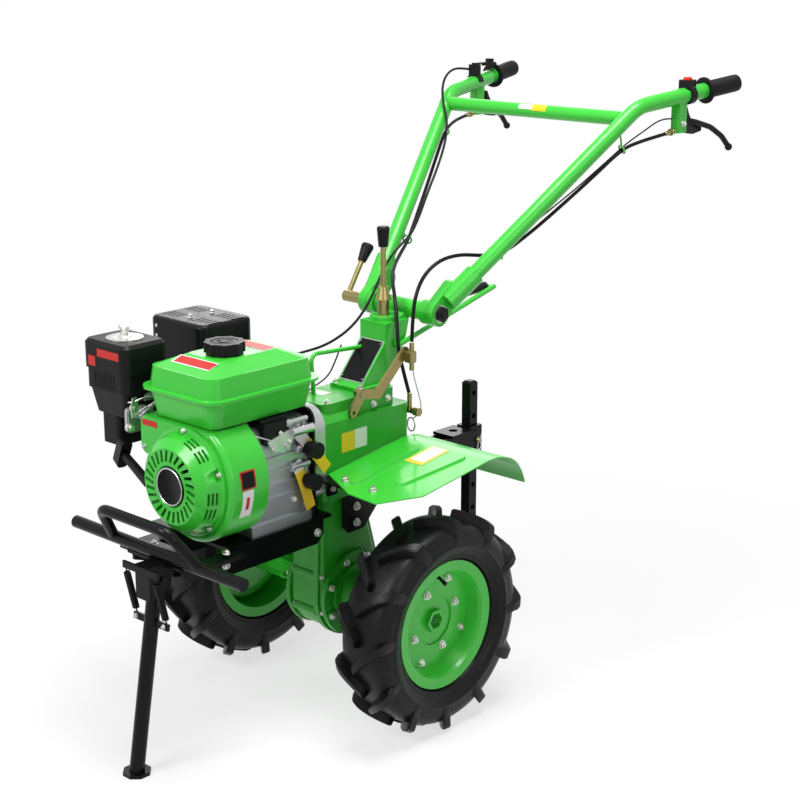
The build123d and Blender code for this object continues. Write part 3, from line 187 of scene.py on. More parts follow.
def plated(name, colour, second, roughness):
    """Plated or bare steel, with drawn streaks and a cloudy second tint."""
    made = Finish(name, colour, roughness, 1.0)
    made.blend_to(made.noise(45, 4), second)
    streaks = made.noise(90, 2, (1, 1, 0.4))
    made.feed("Roughness", streaks * 0.22 + (roughness - 0.08))
    made.relief(streaks, 0.012)
    return made.material


def moulded(name, colour, roughness, grain):
    """Moulded plastic or rubber: a fine even grain and a little dust in its gloss."""
    made = Finish(name, colour, roughness, Specular_IOR_Level=0.13)
    made.blend_to(made.noise(9, 4) * 0.6, shade(colour, 1.6))
    made.uneven_gloss(30, 0.09)
    made.relief(made.noise(1300, 2), grain)
    return made.material


def tyre_compound():
    """Rubber, greyer and duller on what has been handled, with fine flow lines."""
    made = Finish("tyre_compound", (0.0035, 0.0035, 0.004), 0.34, Specular_IOR_Level=0.16)
    made.blend_to(made.noise(12, 6) * 0.6, (0.007, 0.007, 0.008))
    made.blend_to((made.noise(70, 8) > 0.62) * 0.35, (0.014, 0.014, 0.014))
    made.uneven_gloss(25, 0.12)
    made.relief(made.noise(700, 4) + made.noise(90, 3) * 0.7, 0.25)
    return made.material


green_paint = paint("gloss_green_paint", (0.036, 0.5, 0.032), 0.3, 0.006, coat=0.25)
green_cast = casting("green_painted_casting", (0.026, 0.38, 0.022), 0.36, 0.0, 0.16, 0.35)
black_paint = paint("satin_black_paint", (0.003, 0.003, 0.0035), 0.26, 0.02, shine=0.15)
alloy_cast = casting("bare_alloy_casting", (0.5, 0.52, 0.54), 0.4, 0.85, 0.14)
steel = plated("bright_steel", (0.62, 0.62, 0.63), (0.45, 0.45, 0.47), 0.28)
zinc = plated("yellow_zinc_plate", (0.36, 0.28, 0.1), (0.22, 0.21, 0.1), 0.28)
bolt_zinc = plated("white_zinc_bolts", (0.72, 0.72, 0.7), (0.52, 0.51, 0.47), 0.3)
plastic = moulded("black_moulded_plastic", (0.005, 0.005, 0.0055), 0.36, 0.06)
muffler_black = moulded("heat_proof_black", (0.0045, 0.0045, 0.005), 0.3, 0.04)
grip_rubber = moulded("grip_rubber", (0.005, 0.005, 0.0055), 0.42, 0.1)
sleeve = moulded("cable_sleeve", (0.005, 0.005, 0.0055), 0.28, 0.03)
tyre_black = tyre_compound()
label_red = paint("red_foil", (0.5, 0.015, 0.01), 0.4, 0.02)
label_yellow = paint("yellow_foil", (0.8, 0.55, 0.02), 0.45, 0.02)
label_white = paint("white_foil", (0.75, 0.75, 0.73), 0.42, 0.02)
label_black = paint("black_foil", (0.006, 0.006, 0.007), 0.35, 0.01, shine=0.1)
button_red = moulded("red_button", (0.6, 0.02, 0.012), 0.32, 0.03)

finishes = {
    "green_paint": green_paint,
    "green_casting": green_cast,
    "black_paint": black_paint,
    "cast_alloy": alloy_cast,
    "steel": steel,
    "yellow_zinc": zinc,
    "black_plastic": plastic,
    "tyre_rubber": tyre_black,
    "grip_rubber": grip_rubber,
    "cable_sleeve": sleeve,
}
for subpart in frame["record"]["subparts"]:
    part = frame["nodes"][subpart["node"]]
    part.data.materials.clear()
    part.data.materials.append(finishes[subpart["material_slot"]])
frame["nodes"]["muffler"].data.materials[0] = muffler_black


# Meshes
def as_piece(name, mesh, finish, body="chassis", smooth=35):
    """Puts a finished mesh in the scene, in its own place, riding on a body."""
    mesh.materials.clear()
    mesh.materials.append(finish)
    mesh.shade_smooth()
    mesh.set_sharp_from_angle(angle=radians(smooth))
    made = bpy.data.objects.new(name, mesh)
    bpy.context.scene.collection.objects.link(made)
    if body:
        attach(made, body)
    return made


def settle(bm, name):
    """Merges doubles, points the faces outwards and makes the mesh."""
    bmesh.ops.remove_doubles(bm, verts=bm.verts, dist=1e-6)
    bmesh.ops.recalc_face_normals(bm, faces=bm.faces)
    mesh = bpy.data.meshes.new(name)
    bm.to_mesh(mesh)
    bm.free()
    return mesh


def turn_to(direction, across=None):
    """A turn that takes +Z to a direction."""
    z = Vector(direction).normalized()
    x = Vector(across or (UP if abs(z.z) < 0.9 else TO_BACK))
    y = z.cross(x).normalized()
    return Matrix((y.cross(z), y, z)).transposed().to_4x4()


def placed(place, direction, across=None):
    return Matrix.Translation(place) @ turn_to(direction, across)


def lathe(bm, profile, matrix, segments=24):
    """A closed profile of (radius, height) in millimetres, turned about the matrix's z."""
    rings = []
    for radius, height in profile:
        count = segments if radius > 1e-6 else 1
        turns = [2 * pi * number / segments for number in range(count)]
        corners = [Vector((radius * cos(turn), radius * sin(turn), height)) / 1000 for turn in turns]
        rings.append([bm.verts.new(matrix @ corner) for corner in corners])
    for low, high in zip(rings, rings[1:]):
        for number in range(segments):
            after = (number + 1) % segments
            if len(low) == 1:
                bm.faces.new((low[0], high[number], high[after]))
            elif len(high) == 1:
                bm.faces.new((low[number], low[after], high[0]))
            else:
                bm.faces.new((low[number], low[after], high[after], high[number]))


def plate(bm, outline, matrix, thick, edge=0.4):
    """A flat plate from its outline in millimetres, with its edges eased."""
    part = bmesh.new()
    face = part.faces.new([part.verts.new((x / 1000, y / 1000, 0)) for x, y in outline])
    lifted = bmesh.ops.extrude_face_region(part, geom=[face])["geom"]
    top = [corner for corner in lifted if isinstance(corner, bmesh.types.BMVert)]
    bmesh.ops.translate(part, verts=top, vec=(0, 0, thick / 1000))
    bmesh.ops.recalc_face_normals(part, faces=part.faces)
    bmesh.ops.bevel(part, geom=part.edges[:], offset=edge / 1000, segments=2, affect="EDGES")
    part.transform(matrix)
    loose = bpy.data.meshes.new("plate")
    part.to_mesh(loose)
    part.free()
    bm.from_mesh(loose)
    bpy.data.meshes.remove(loose)


def rounded(width, length, radius, steps=5):
    """The outline of a rectangle with round corners."""
    outline = []
    for turn, (x, y) in enumerate(((1, 1), (-1, 1), (-1, -1), (1, -1))):
        middle = (x * (width / 2 - radius), y * (length / 2 - radius))
        for step in range(steps + 1):
            angle = pi / 2 * (turn + step / steps)
            outline.append((middle[0] + radius * cos(angle), middle[1] + radius * sin(angle)))
    return outline


def bar(bm, rows):
    """The skin of a bar that runs through rows of four corners."""
    for here, after in zip(rows, rows[1:]):
        for first, second in ((0, 1), (1, 3), (3, 2), (2, 0)):
            bm.faces.new((here[first], here[second], after[second], after[first]))
    for end in (rows[0], rows[-1]):
        bm.faces.new((end[0], end[1], end[3], end[2]))


def tube_along(name, points, thickness, sides, cyclic):
    """The mesh of a round tube, thickness millimetres across, on a smooth NURBS line."""
    curve = bpy.data.curves.new(name, "CURVE")
    curve.dimensions = "3D"
    spline = curve.splines.new("NURBS")
    spline.points.add(len(points) - 1)
    for point, place in zip(spline.points, points):
        point.co = (*place, 1)
    spline.order_u = 3
    spline.use_endpoint_u = not cyclic
    spline.use_cyclic_u = cyclic
    spline.resolution_u = 8
    curve.bevel_depth = thickness / 2000
    curve.bevel_resolution = sides // 2
    curve.use_fill_caps = True
    source = bpy.data.objects.new(name + "_line", curve)
    bpy.context.scene.collection.objects.link(source)
    bpy.context.view_layer.update()
    mesh = bpy.data.meshes.new_from_object(source.evaluated_get(bpy.context.evaluated_depsgraph_get()))
    bpy.data.objects.remove(source)
    bpy.data.curves.remove(curve)
    return mesh


def wire(name, finish, thickness, route, body="chassis", sides=6, cyclic=False):
    """A wire, rod or hose along a route of places in millimetres."""
    points = [spot(*place) for place in route]
    return as_piece(name, tube_along(name, points, thickness, sides, cyclic), finish, body, 60)


def turned(name, finish, profile, place, facing, segments=24, body="chassis", smooth=35):
    """A piece from one profile, turned on a lathe."""
    bm = bmesh.new()
    lathe(bm, profile, placed(place, facing), segments)
    return as_piece(name, settle(bm, name), finish, body, smooth)


# Geometry Nodes
class Grower(Graph):
    """A Geometry Nodes tree with named inputs, ending in Realize Instances and Set Material."""

    def __init__(self, name, inputs):
        super().__init__(bpy.data.node_groups.new(name, "GeometryNodeTree"))
        face = self.tree.interface
        self.sockets = {}
        for title, kind in {"Geometry": "Geometry", **inputs, "Finish": "Material"}.items():
            made = face.new_socket(name=title, in_out="INPUT", socket_type="NodeSocket" + kind)
            self.sockets[title] = made.identifier
        face.new_socket(name="Geometry", in_out="OUTPUT", socket_type="NodeSocketGeometry")
        self.entry = self.tree.nodes.new("NodeGroupInput")

    def given(self, title):
        return Value(self, self.entry.outputs[title])

    def ends_with(self, geometry):
        real = self.node("GeometryNodeRealizeInstances", {}, {"Geometry": geometry})
        dressed = self.node(
            "GeometryNodeSetMaterial", {}, {"Geometry": real, "Material": self.given("Finish")}
        )
        self.node("NodeGroupOutput", {}, {"Geometry": dressed})
        return self

    def grow(self, name, mesh, finish, body="chassis", matrix=None, smooth=35, **values):
        """Runs the tree on a mesh and keeps the result as a plain piece."""
        source = bpy.data.objects.new(name + "_source", mesh)
        bpy.context.scene.collection.objects.link(source)
        modifier = source.modifiers.new("grow", "NODES")
        modifier.node_group = self.tree
        for title, value in {"Finish": finish, **values}.items():
            modifier[self.sockets[title]] = value
        bpy.context.view_layer.update()
        grown = bpy.data.meshes.new_from_object(source.evaluated_get(bpy.context.evaluated_depsgraph_get()))
        bpy.data.objects.remove(source)
        if matrix:
            grown.transform(matrix)
        return as_piece(name, grown, finish, body, smooth)


def bolt_tree():
    """A washer, a hexagon head and a thread's end on every point, turned to its facing."""
    tree = Grower("hexagon_bolts", {})

    def raised(shape, lift):
        return tree.node("GeometryNodeTransform", {}, {"Geometry": shape, "Translation": (0, 0, lift)})

    def drum(sides, radius, low, high):
        size = {"Vertices": sides, "Radius": radius, "Depth": high - low}
        return raised(tree.node("GeometryNodeMeshCylinder", {}, size), (low + high) / 2)

    def taper(sides, radius, low, high, top):
        size = {"Vertices": sides, "Radius Top": top, "Radius Bottom": radius, "Depth": high - low}
        return raised(tree.node("GeometryNodeMeshCone", {}, size), low)

    join = tree.tree.nodes.new("GeometryNodeJoinGeometry")
    for shape in (
        drum(20, 1.0, 0.0, 0.14),
        taper(20, 0.86, 0.14, 0.24, 0.82),
        drum(6, 0.78, 0.24, 0.72),
        taper(6, 0.78, 0.72, 0.8, 0.66),
        taper(12, 0.4, 0.8, 1.1, 0.36),
    ):
        tree.tree.links.new(shape.socket, join.inputs[0])
    points = tree.node("GeometryNodeMeshToPoints", {}, {"Mesh": tree.given("Geometry")})
    facing = tree.node("GeometryNodeInputNamedAttribute", {"data_type": "FLOAT_VECTOR"}, {"Name": "facing"})
    size = tree.node("GeometryNodeInputNamedAttribute", {"data_type": "FLOAT"}, {"Name": "size"})
    aligned = tree.node("FunctionNodeAlignRotationToVector", {"axis": "Z"}, {"Vector": facing})
    spin = tree.node("FunctionNodeRandomValue", {"data_type": "FLOAT"}, {2: 0.0, 3: 1.0, "Seed": 4}, 1)
    twist = tree.node("FunctionNodeAxisAngleToRotation", {}, {"Axis": UP, "Angle": spin})
    rotation = tree.node("FunctionNodeRotateRotation", {"rotation_space": "LOCAL"}, {0: aligned, 1: twist})
    return tree.ends_with(tree.node(
        "GeometryNodeInstanceOnPoints",
        {},
        {"Points": points, "Instance": Value(tree, join.outputs[0]), "Rotation": rotation, "Scale": size},
    ))


def ring_tree():
    """Copies of the mesh turned about the x axis, as many as asked."""
    tree = Grower("copies_round_an_axle", {"Copies": "Int", "Start": "Float"})
    count = tree.given("Copies")
    line = tree.node("GeometryNodeMeshLine", {"mode": "OFFSET"}, {"Count": count, "Offset": (0, 0, 0)})
    turn = tree.node("GeometryNodeInputIndex", {}, {}) * (2 * pi / count) + tree.given("Start")
    rotation = tree.node("ShaderNodeCombineXYZ", {}, {"X": turn})
    copies = {"Points": line, "Instance": tree.given("Geometry"), "Rotation": rotation}
    return tree.ends_with(tree.node("GeometryNodeInstanceOnPoints", {}, copies))


def row_tree():
    """Copies of the mesh set out along a straight line."""
    tree = Grower("copies_in_a_row", {"Copies": "Int", "Step": "Vector"})
    values = {"Count": tree.given("Copies"), "Offset": tree.given("Step")}
    line = tree.node("GeometryNodeMeshLine", {"mode": "OFFSET"}, values)
    copies = {"Points": line, "Instance": tree.given("Geometry")}
    return tree.ends_with(tree.node("GeometryNodeInstanceOnPoints", {}, copies))


def coil_tree():
    """A wire wound in a helix along z."""
    tree = Grower("wound_wire", {"Turns": "Float", "Radius": "Float", "Length": "Float", "Wire": "Float"})
    size = {"Rotations": "Turns", "Start Radius": "Radius", "End Radius": "Radius", "Height": "Length"}
    values = {socket: tree.given(title) for socket, title in size.items()}
    helix = tree.node("GeometryNodeCurveSpiral", {}, {"Resolution": 22, **values})
    section = tree.node(
        "GeometryNodeCurvePrimitiveCircle", {}, {"Resolution": 8, "Radius": tree.given("Wire")}
    )
    return tree.ends_with(tree.node(
        "GeometryNodeCurveToMesh", {}, {"Curve": helix, "Profile Curve": section, "Fill Caps": True}
    ))


bolts_on = bolt_tree()
copies_round = ring_tree()
copies_along = row_tree()
wound = coil_tree()


def bolts(name, fasteners, body="chassis", finish=bolt_zinc):
    """One piece of bolts from (place, facing, washer radius in millimetres)."""
    places, facings, radii = zip(*fasteners)
    mesh = bpy.data.meshes.new(name)
    mesh.from_pydata(places, [], [])
    facing = mesh.attributes.new("facing", "FLOAT_VECTOR", "POINT")
    facing.data.foreach_set("vector", [share for way in facings for share in way])
    size = mesh.attributes.new("size", "FLOAT", "POINT")
    size.data.foreach_set("value", [radius / 1000 for radius in radii])
    return bolts_on.grow(name, mesh, finish, body, smooth=25)


def coil(name, finish, start, way, turns, radius, length, thick, body="chassis"):
    """A wound spring from its start, with its radius, length and wire in metres."""
    return wound.grow(
        name, bpy.data.meshes.new("coil"), finish, body, placed(start, way), smooth=60,
        Turns=turns, Radius=radius, Length=length, Wire=thick,
    )


# Camera, light and floor
def background_rays(graph):
    """1 for what the camera, a reflection or glass sees directly, and 0 for light."""
    rays = graph.tree.nodes.new("ShaderNodeLightPath")
    camera, gloss, through = (
        Value(graph, rays.outputs[name]) for name in ("Is Camera Ray", "Is Glossy Ray", "Is Transmission Ray")
    )
    return graph.node("ShaderNodeMath", {"operation": "MAXIMUM"}, {0: camera, 1: gloss + through})


def set_camera():
    """The fitted view of the photograph."""
    stage = bpy.context.scene
    stage.view_settings.view_transform = "Standard"
    lens = bpy.data.cameras.new("view_of_the_photograph")
    lens.sensor_width = 36
    lens.lens = 74.26
    lens.clip_end = 50
    camera = bpy.data.objects.new("camera", lens)
    camera.location = (2.05454, -2.20645, 1.3714)
    camera.rotation_euler = (radians(90 - 15.67), 0, radians(42.9))
    stage.collection.objects.link(camera)
    stage.camera = camera


def softbox(name, place, size, power):
    """A soft lamp that looks at the middle of the machine."""
    light = bpy.data.lights.new(name, "AREA")
    light.shape = "RECTANGLE"
    light.size, light.size_y = size
    light.energy = power
    lamp = bpy.data.objects.new(name, light)
    lamp.location = place
    lamp.rotation_euler = (Vector(place) - Vector((0, -0.1, 0.5))).to_track_quat("Z", "Y").to_euler()
    bpy.context.scene.collection.objects.link(lamp)


def set_world():
    """A dim sky for the machine, and white where the background is seen."""
    world = bpy.data.worlds.new("pale_studio")
    bpy.context.scene.world = world
    world.use_nodes = True
    world.node_tree.nodes.clear()
    sky = Graph(world.node_tree)
    pale = sky.node("ShaderNodeBackground", {}, {"Color": (1, 1, 1, 1), "Strength": 1.0})
    dim = sky.node("ShaderNodeBackground", {}, {"Color": (0.96, 0.98, 1, 1), "Strength": 0.14})
    mixed = sky.node("ShaderNodeMixShader", {}, {0: background_rays(sky), 1: dim, 2: pale})
    sky.node("ShaderNodeOutputWorld", {}, {"Surface": mixed})


def set_floor():
    """White paper that keeps the machine's shadow and goes over into the white background."""
    bm = bmesh.new()
    bmesh.ops.create_grid(bm, x_segments=8, y_segments=8, size=9)
    bmesh.ops.translate(bm, verts=bm.verts, vec=(0, 0, -0.0005))
    mesh = bpy.data.meshes.new("studio_floor")
    bm.to_mesh(mesh)
    bm.free()
    floor = bpy.data.objects.new("studio_floor", mesh)
    bpy.context.scene.collection.objects.link(floor)
    paper = bpy.data.materials.new("white_paper")
    paper.use_nodes = True
    paper.node_tree.nodes.clear()
    sheet = Graph(paper.node_tree)
    matt = sheet.node("ShaderNodeBsdfDiffuse", {}, {"Color": (0.86, 0.86, 0.86, 1)})
    glow = sheet.node("ShaderNodeEmission", {}, {"Color": (1, 1, 1, 1), "Strength": 1.0})
    place = sheet.node("ShaderNodeTexCoord", {}, {}, "Object")
    reach = sheet.node("ShaderNodeVectorMath", {"operation": "LENGTH"}, {0: place}, "Value")
    away = sheet.node(
        "ShaderNodeMapRange", {"interpolation_type": "SMOOTHSTEP"},
        {"Value": reach, "From Min": 0.6, "From Max": 1.5, "To Min": 0.68, "To Max": 1.0},
    )
    lit = sheet.node("ShaderNodeMixShader", {}, {0: background_rays(sheet) * away, 1: matt, 2: glow})
    sheet.node("ShaderNodeOutputMaterial", {}, {"Surface": lit})
    mesh.materials.append(paper)


set_camera()
softbox("key_softbox", (-0.5, -3.2, 2.6), (1.5, 1.2), 88)
softbox("side_softbox", (3.4, -0.9, 1.7), (1.2, 1.8), 20)
softbox("top_softbox", (0.5, -0.2, 3.3), (1.5, 1.5), 100)
softbox("back_softbox", (-2.6, 2.6, 2.2), (1.8, 1.8), 26)
set_world()
set_floor()

# Control cables, each in one length from its lever to what it works
CLUTCH_ROUTE = (
    (255, 672, 1009), (250, 634, 1004), (240, 594, 997), (224, 555, 985), (199, 499, 935), (172, 442, 886),
    (145, 383, 838), (118, 324, 797), (97, 284, 801), (87, 241, 807), (80, 197, 802), (76, 160, 781),
    (75, 137, 747), (75, 129, 704), (75, 127, 660),
)
SHIFT_ROUTE = (
    (-255, 672, 1009), (-250, 634, 1004), (-240, 594, 997), (-224, 555, 985), (-198, 497, 936),
    (-171, 440, 888), (-145, 383, 841), (-118, 326, 797), (-92, 276, 781), (-62, 226, 768), (-24, 180, 754),
    (14, 147, 732), (41, 124, 692), (52, 115, 645), (55, 126, 600), (54, 142, 557),
)
THROTTLE_ROUTE = (
    (-256, 668, 1102), (-257, 636, 1107), (-253, 604, 1104), (-245, 576, 1091), (-231, 552, 1070),
    (-210, 532, 1044), (-186, 518, 1012), (-174, 500, 972), (-166, 468, 925), (-149, 418, 879),
    (-125, 366, 838), (-106, 322, 811), (-88, 274, 800), (-72, 228, 786), (-60, 190, 760), (-53, 160, 728),
    (-49, 132, 700), (-51, 106, 677), (-60, 82, 658), (-82, 56, 638), (-106, 24, 628), (-124, -14, 620),
    (-130, -52, 606),
)
for name, route, thickness, low_end in (
    ("clutch_cable", CLUTCH_ROUTE, 7, spot(80, 150, 700)),
    ("shift_cable", SHIFT_ROUTE, 7, spot(20, 150, 690)),
    ("throttle_cable", THROTTLE_ROUTE, 5, spot(-55, 140, 705)),
):
    cable = wire(name + "_sleeve", sleeve, thickness, route, None, 10)
    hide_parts(name)
    spot(low_end.x * 1000, 330, 820)
    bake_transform(cable)

# Fasteners: (place, facing, washer radius), in an order that also gives each head its own turn
COVER_FACE, RIM_FACE = 54.5, 246.2  # how far out the drive covers and the rims carry their bolts
FENDER_FACING = (0, -0.13, 0.99)


def round_axle(x, radius, turn):
    """A place on a circle about the axle line, turn degrees up from straight back."""
    return spot(x, radius * cos(radians(turn)), AXLE_Z + radius * sin(radians(turn)))


held = {"chassis": [], "wheels": [], "handlebar": []}
for side, word in SIDES:
    out = (side, 0, 0)
    held["chassis"] += [(round_axle(side * COVER_FACE, 71, 22.5 + 45 * number), out, 7) for number in range(8)]
    held["wheels"] += [
        (round_axle(side * RIM_FACE, radius, start + 90 * number), out, size)
        for number in range(4) for radius, start, size in ((57, 21, 8), (79, 64, 7.2))
    ]
    held["chassis"] += [(spot(side * x, y, z), facing, size) for x, y, z, facing, size in (
        (69, -114, 353, out, 8),
        (69, -330, 353, out, 8),
        (58, -116, 396, TO_BACK, 7),
        (58, -116, 566, TO_BACK, 7),
        (32, 36, 582, UP, 7),
        (32, 99, 582, UP, 7),
        (52.2, 2, 369, out, 8),
        (52.2, 2, 338, out, 8),
        (34, 149, 381, TO_BACK, 8),
        (34, 149, 417, TO_BACK, 8),
        (52, -384, 374, UP, 7),
        (84, -340, 380, UP, 7),
        (66.4, -72, 424, out, 6),
        (42, -60, 575, UP, 6.5),
        (50, 50, 553, out, 6.5),
        (50, 88, 557, out, 6.5),
        (111, -84, 447.2 + 42 * 0.1314, FENDER_FACING, 8),
        (184, -90, 447.2 + 36 * 0.1314, FENDER_FACING, 8),
    )]
    held["handlebar"] += [(spot(side * x, 694, 1024), (way, 0, 0), 6) for x, way in ((246, -side), (266, side))]
held["chassis"] += [
    *((spot(58, y, z), TO_LEFT, 6.5) for y, z in (
        (-246, 428), (-246, 540), (-157, 424), (-148, 556), (-246, 484)
    )),
    *((spot(x, -72.5, z), (way, 0, 0), 6.5) for z in (247, 177) for x, way in ((36, LEFT), (-33, RIGHT))),
    *((spot(-215, y, 707), UP, 6) for y in (-152, -100)),
    *((spot(88.5 * cos(turn), -350, CRANKSHAFT_Z + 88.5 * sin(turn)), TO_FRONT, 5.5) for turn in (
        radians(72 * number + 20) for number in range(5)
    )),
    (spot(-118, -344, 526), TO_FRONT, 5),
    *((spot(70, y, z), TO_LEFT, 4.5) for y, z in ((-215, 530), (-178, 537), (-199, 556))),
]
held["stand"] = [(spot(side * 36, -440.5, 266), TO_FRONT, 4.5) for side in (LEFT, RIGHT)]
for body, fasteners in held.items():
    bolts(body + "_bolts", fasteners, body)

# Tyres: a revolved carcass with moulded rings, and lugs that wrap over the shoulder
TRACK = 238  # from the middle of the machine to the middle of a tyre
# Half the carcass's section: (radius, half width)
CARCASS = [
    (101.6, 34), (118.6, 34), (121, 37), (122, 41), (124.5, 41.6), (126, 43.5), (128.5, 43.5), (130, 45.6),
    (138, 49.6), (146, 52), (147, 53.2), (149, 53.2), (150, 52.6), (160, 52.4), (168, 50.6), (176, 46.6),
    (181, 41), (184, 33), (185.4, 20), (186, 8), (186, 0),
]
# One lug's spine: across and radius at its foot, degrees round, half its width, radius and across on top
LUG = [
    (-5, 186, -10.5, 8.0, 201, -5),
    (5, 186, -7.5, 8.8, 201, 5),
    (16, 185.5, -4.4, 9.2, 201, 16),
    (28, 184.2, -1.4, 9.4, 200.6, 28),
    (38, 181.5, 1.2, 9.6, 199, 40),
    (46, 176.5, 3.2, 10.2, 194, 51),
    (51, 168, 4.6, 9.6, 182, 54),
    (52.6, 157, 5.2, 8.0, 164, 54),
    (52.4, 148, 5.4, 6.0, 150, 53),
]
LUGS_A_FLANK = 12


def lug_mesh(flank):
    """A lug as a bar with sloping flanks that follows its spine."""
    bm = bmesh.new()
    rows = []
    for across, radius, turn, half, top, top_across in LUG:
        row = []
        for reach, x, wide in ((radius - 3, across, half + 1.6), (top, top_across, half - 1.0)):
            for edge in (-1, 1):
                angle = radians(turn) + edge * wide / radius
                row.append(bm.verts.new(Vector((flank * x, reach * sin(angle), reach * cos(angle))) / 1000))
        rows.append(row)
    bar(bm, rows)
    bmesh.ops.recalc_face_normals(bm, faces=bm.faces)
    sharp = [edge for edge in bm.edges if len(edge.link_faces) == 2 and edge.calc_face_angle(0) > 0.6]
    bmesh.ops.bevel(bm, geom=sharp, offset=0.0016, segments=2, affect="EDGES")
    return settle(bm, "lug")


STEM = [(0, 0), (4.2, 0), (4.2, 9), (3, 12), (3, 24), (3.8, 24.5), (3.8, 30), (0, 31)]
for side, word in SIDES:
    centre = spot(side * TRACK, 0, AXLE_Z)
    section = CARCASS + [(radius, -wide) for radius, wide in reversed(CARCASS[:-1])]
    carcass = turned("tyre_carcass_" + word, tyre_black, section, centre, TO_LEFT, 128, "wheels", 50)
    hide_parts("tyre_" + word)
    for flank, start in ((LEFT, 0.0), (RIGHT, pi / LUGS_A_FLANK)):
        lugs = copies_round.grow(
            f"tyre_lugs_{word}_{'outer' if flank == side else 'inner'}", lug_mesh(flank), tyre_black,
            "wheels", Matrix.Translation(centre), Copies=LUGS_A_FLANK, Start=start,
        )
    turned("valve_stem_" + word, sleeve, STEM, spot(side * 247, 0, 290), (side * 0.9, 0, -0.45), 14, "wheels")

# Grips: ribbed sleeves with a collar
GRIP = [(15.2, 0), (24, 0), (25.8, 1.2), (25.8, 3.6), (24, 5), (19, 5.6), (16.6, 8)]
for low in range(10, 85, 5):
    GRIP += [(16.0, low), (16.9, low + 1.1), (16.9, low + 3.1), (16.0, low + 4.2)]
GRIP += [(16.4, 87), (16.6, 89.5), (14.5, 91.6), (0, 92)]
for side, word in SIDES:
    bend, end = spot(side * 235, 585, 1062), spot(side * 285, 848, 1094)
    run = (end - bend).normalized()
    grip = turned("grip_sleeve_" + word, grip_rubber, GRIP, end - run * 0.092, run, 36, "handlebar", 40)
    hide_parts("grip_" + word)

# Recoil starter: the blank badge in the middle of its face, and the bright ring round it
BADGE = spot(0, -384, CRANKSHAFT_Z)
turned("starter_badge", label_black, [
    (0, 3.4), (29, 3.4), (30.5, 4.4), (33, 4.4), (33.8, 3.2), (33.8, 0.4), (0, 0.4),
], BADGE, TO_FRONT, 64)
turned("starter_badge_ring", steel, [
    (30.4, 4.6), (31, 5.1), (32.6, 5.1), (33.2, 4.6), (33.2, 4.0), (30.4, 4.0),
], BADGE, TO_FRONT, 64)


# Blank plates and coloured foils
def label(name, size, place, facing, across, finish, thick=0.5):
    """A flat blank label of (width, length, corner radius) in millimetres."""
    bm = bmesh.new()
    plate(bm, rounded(*size), placed(spot(*place), facing, across), thick, 0.12)
    return as_piece(name, settle(bm, name), finish, smooth=20)


COLUMN_FACING, COLUMN_UP = (0, -72, 62), (0, 62, 72)
TANK_FACING = (0, -0.314, 0.949)
label("data_plate_border", (90, 58, 2), (0, 73, 622.2), COLUMN_FACING, COLUMN_UP, steel, 0.8)
label("data_plate", (86, 54, 1.5), (0, 72.4, 622.8), COLUMN_FACING, COLUMN_UP, label_black, 0.9)
bolts("data_plate_rivets", [
    (spot(25 * x, 72.2 + 24.5 * y, 623.3 + 28.5 * y), COLUMN_FACING, 1.6) for x in (-1, 1) for y in (-1, 1)
], finish=steel)
for name, size, place, facing, across, finish in (
    ("tank_label_front", (98, 25, 2), (-27, -302, 682.8), TANK_FACING, TO_LEFT, label_white),
    ("tank_label_front_red", (92, 20, 1), (-25, -302, 683.3), TANK_FACING, TO_LEFT, label_red),
    ("tank_label_rear", (84, 32, 2), (-27, -168, 689.1), UP, TO_LEFT, label_white),
    ("tank_label_rear_red", (80, 28, 1), (-27, -168, 689.6), UP, TO_LEFT, label_red),
    ("air_cleaner_stripe", (60, 14, 1), (-188, -360.1, 679), TO_FRONT, TO_LEFT, label_red),
    ("air_cleaner_square", (20, 18, 1), (-234, -360.1, 662), TO_FRONT, TO_LEFT, label_red),
    ("air_cleaner_low_label", (20, 26, 1), (-236, -348.2, 593), (0, -0.977, -0.212), TO_LEFT, label_red),
    ("shroud_label", (40, 11, 3), (-101, -344.1, 571), TO_FRONT, TO_LEFT, label_red),
    ("gearbox_label_yellow", (33, 36, 1), (62.1, -27.5, 501), TO_LEFT, TO_BACK, label_yellow),
    ("gearbox_label_white", (32, 36, 1), (60.1, 7, 501), TO_LEFT, TO_BACK, label_white),
    ("bell_label", (46, 24, 1), (-24, -18, 575.1), UP, TO_LEFT, label_white),
    ("fender_label", (76, 42, 2), (163, 72, 473.2), FENDER_FACING, TO_BACK, label_yellow),
    ("fender_label_white", (64, 32, 1), (163, 76, 474.2), FENDER_FACING, TO_BACK, label_white),
):
    label(name, size, place, facing, across, finish)


def wrapped_label(name, start, end, radius, low, high, finish, body, lift=0.5):
    """A foil label round the tube from start to end, from one angle in degrees to another."""
    bm = bmesh.new()
    way = (end - start).normalized()
    out = Vector(TO_LEFT if abs(way.y) > 0.7 else TO_BACK)
    up = way.cross(out)
    if up.z < 0:
        up.negate()
    rows = []
    for step in range(13):
        turn = radians(low + (high - low) * step / 12)
        reach = out * cos(turn) + up * sin(turn)
        rows.append([
            bm.verts.new(place + reach * far / 1000) for far in (radius + 0.05, radius + lift)
            for place in (start, end)
        ])
    bar(bm, rows)
    as_piece(name, settle(bm, name), finish, body, 40)


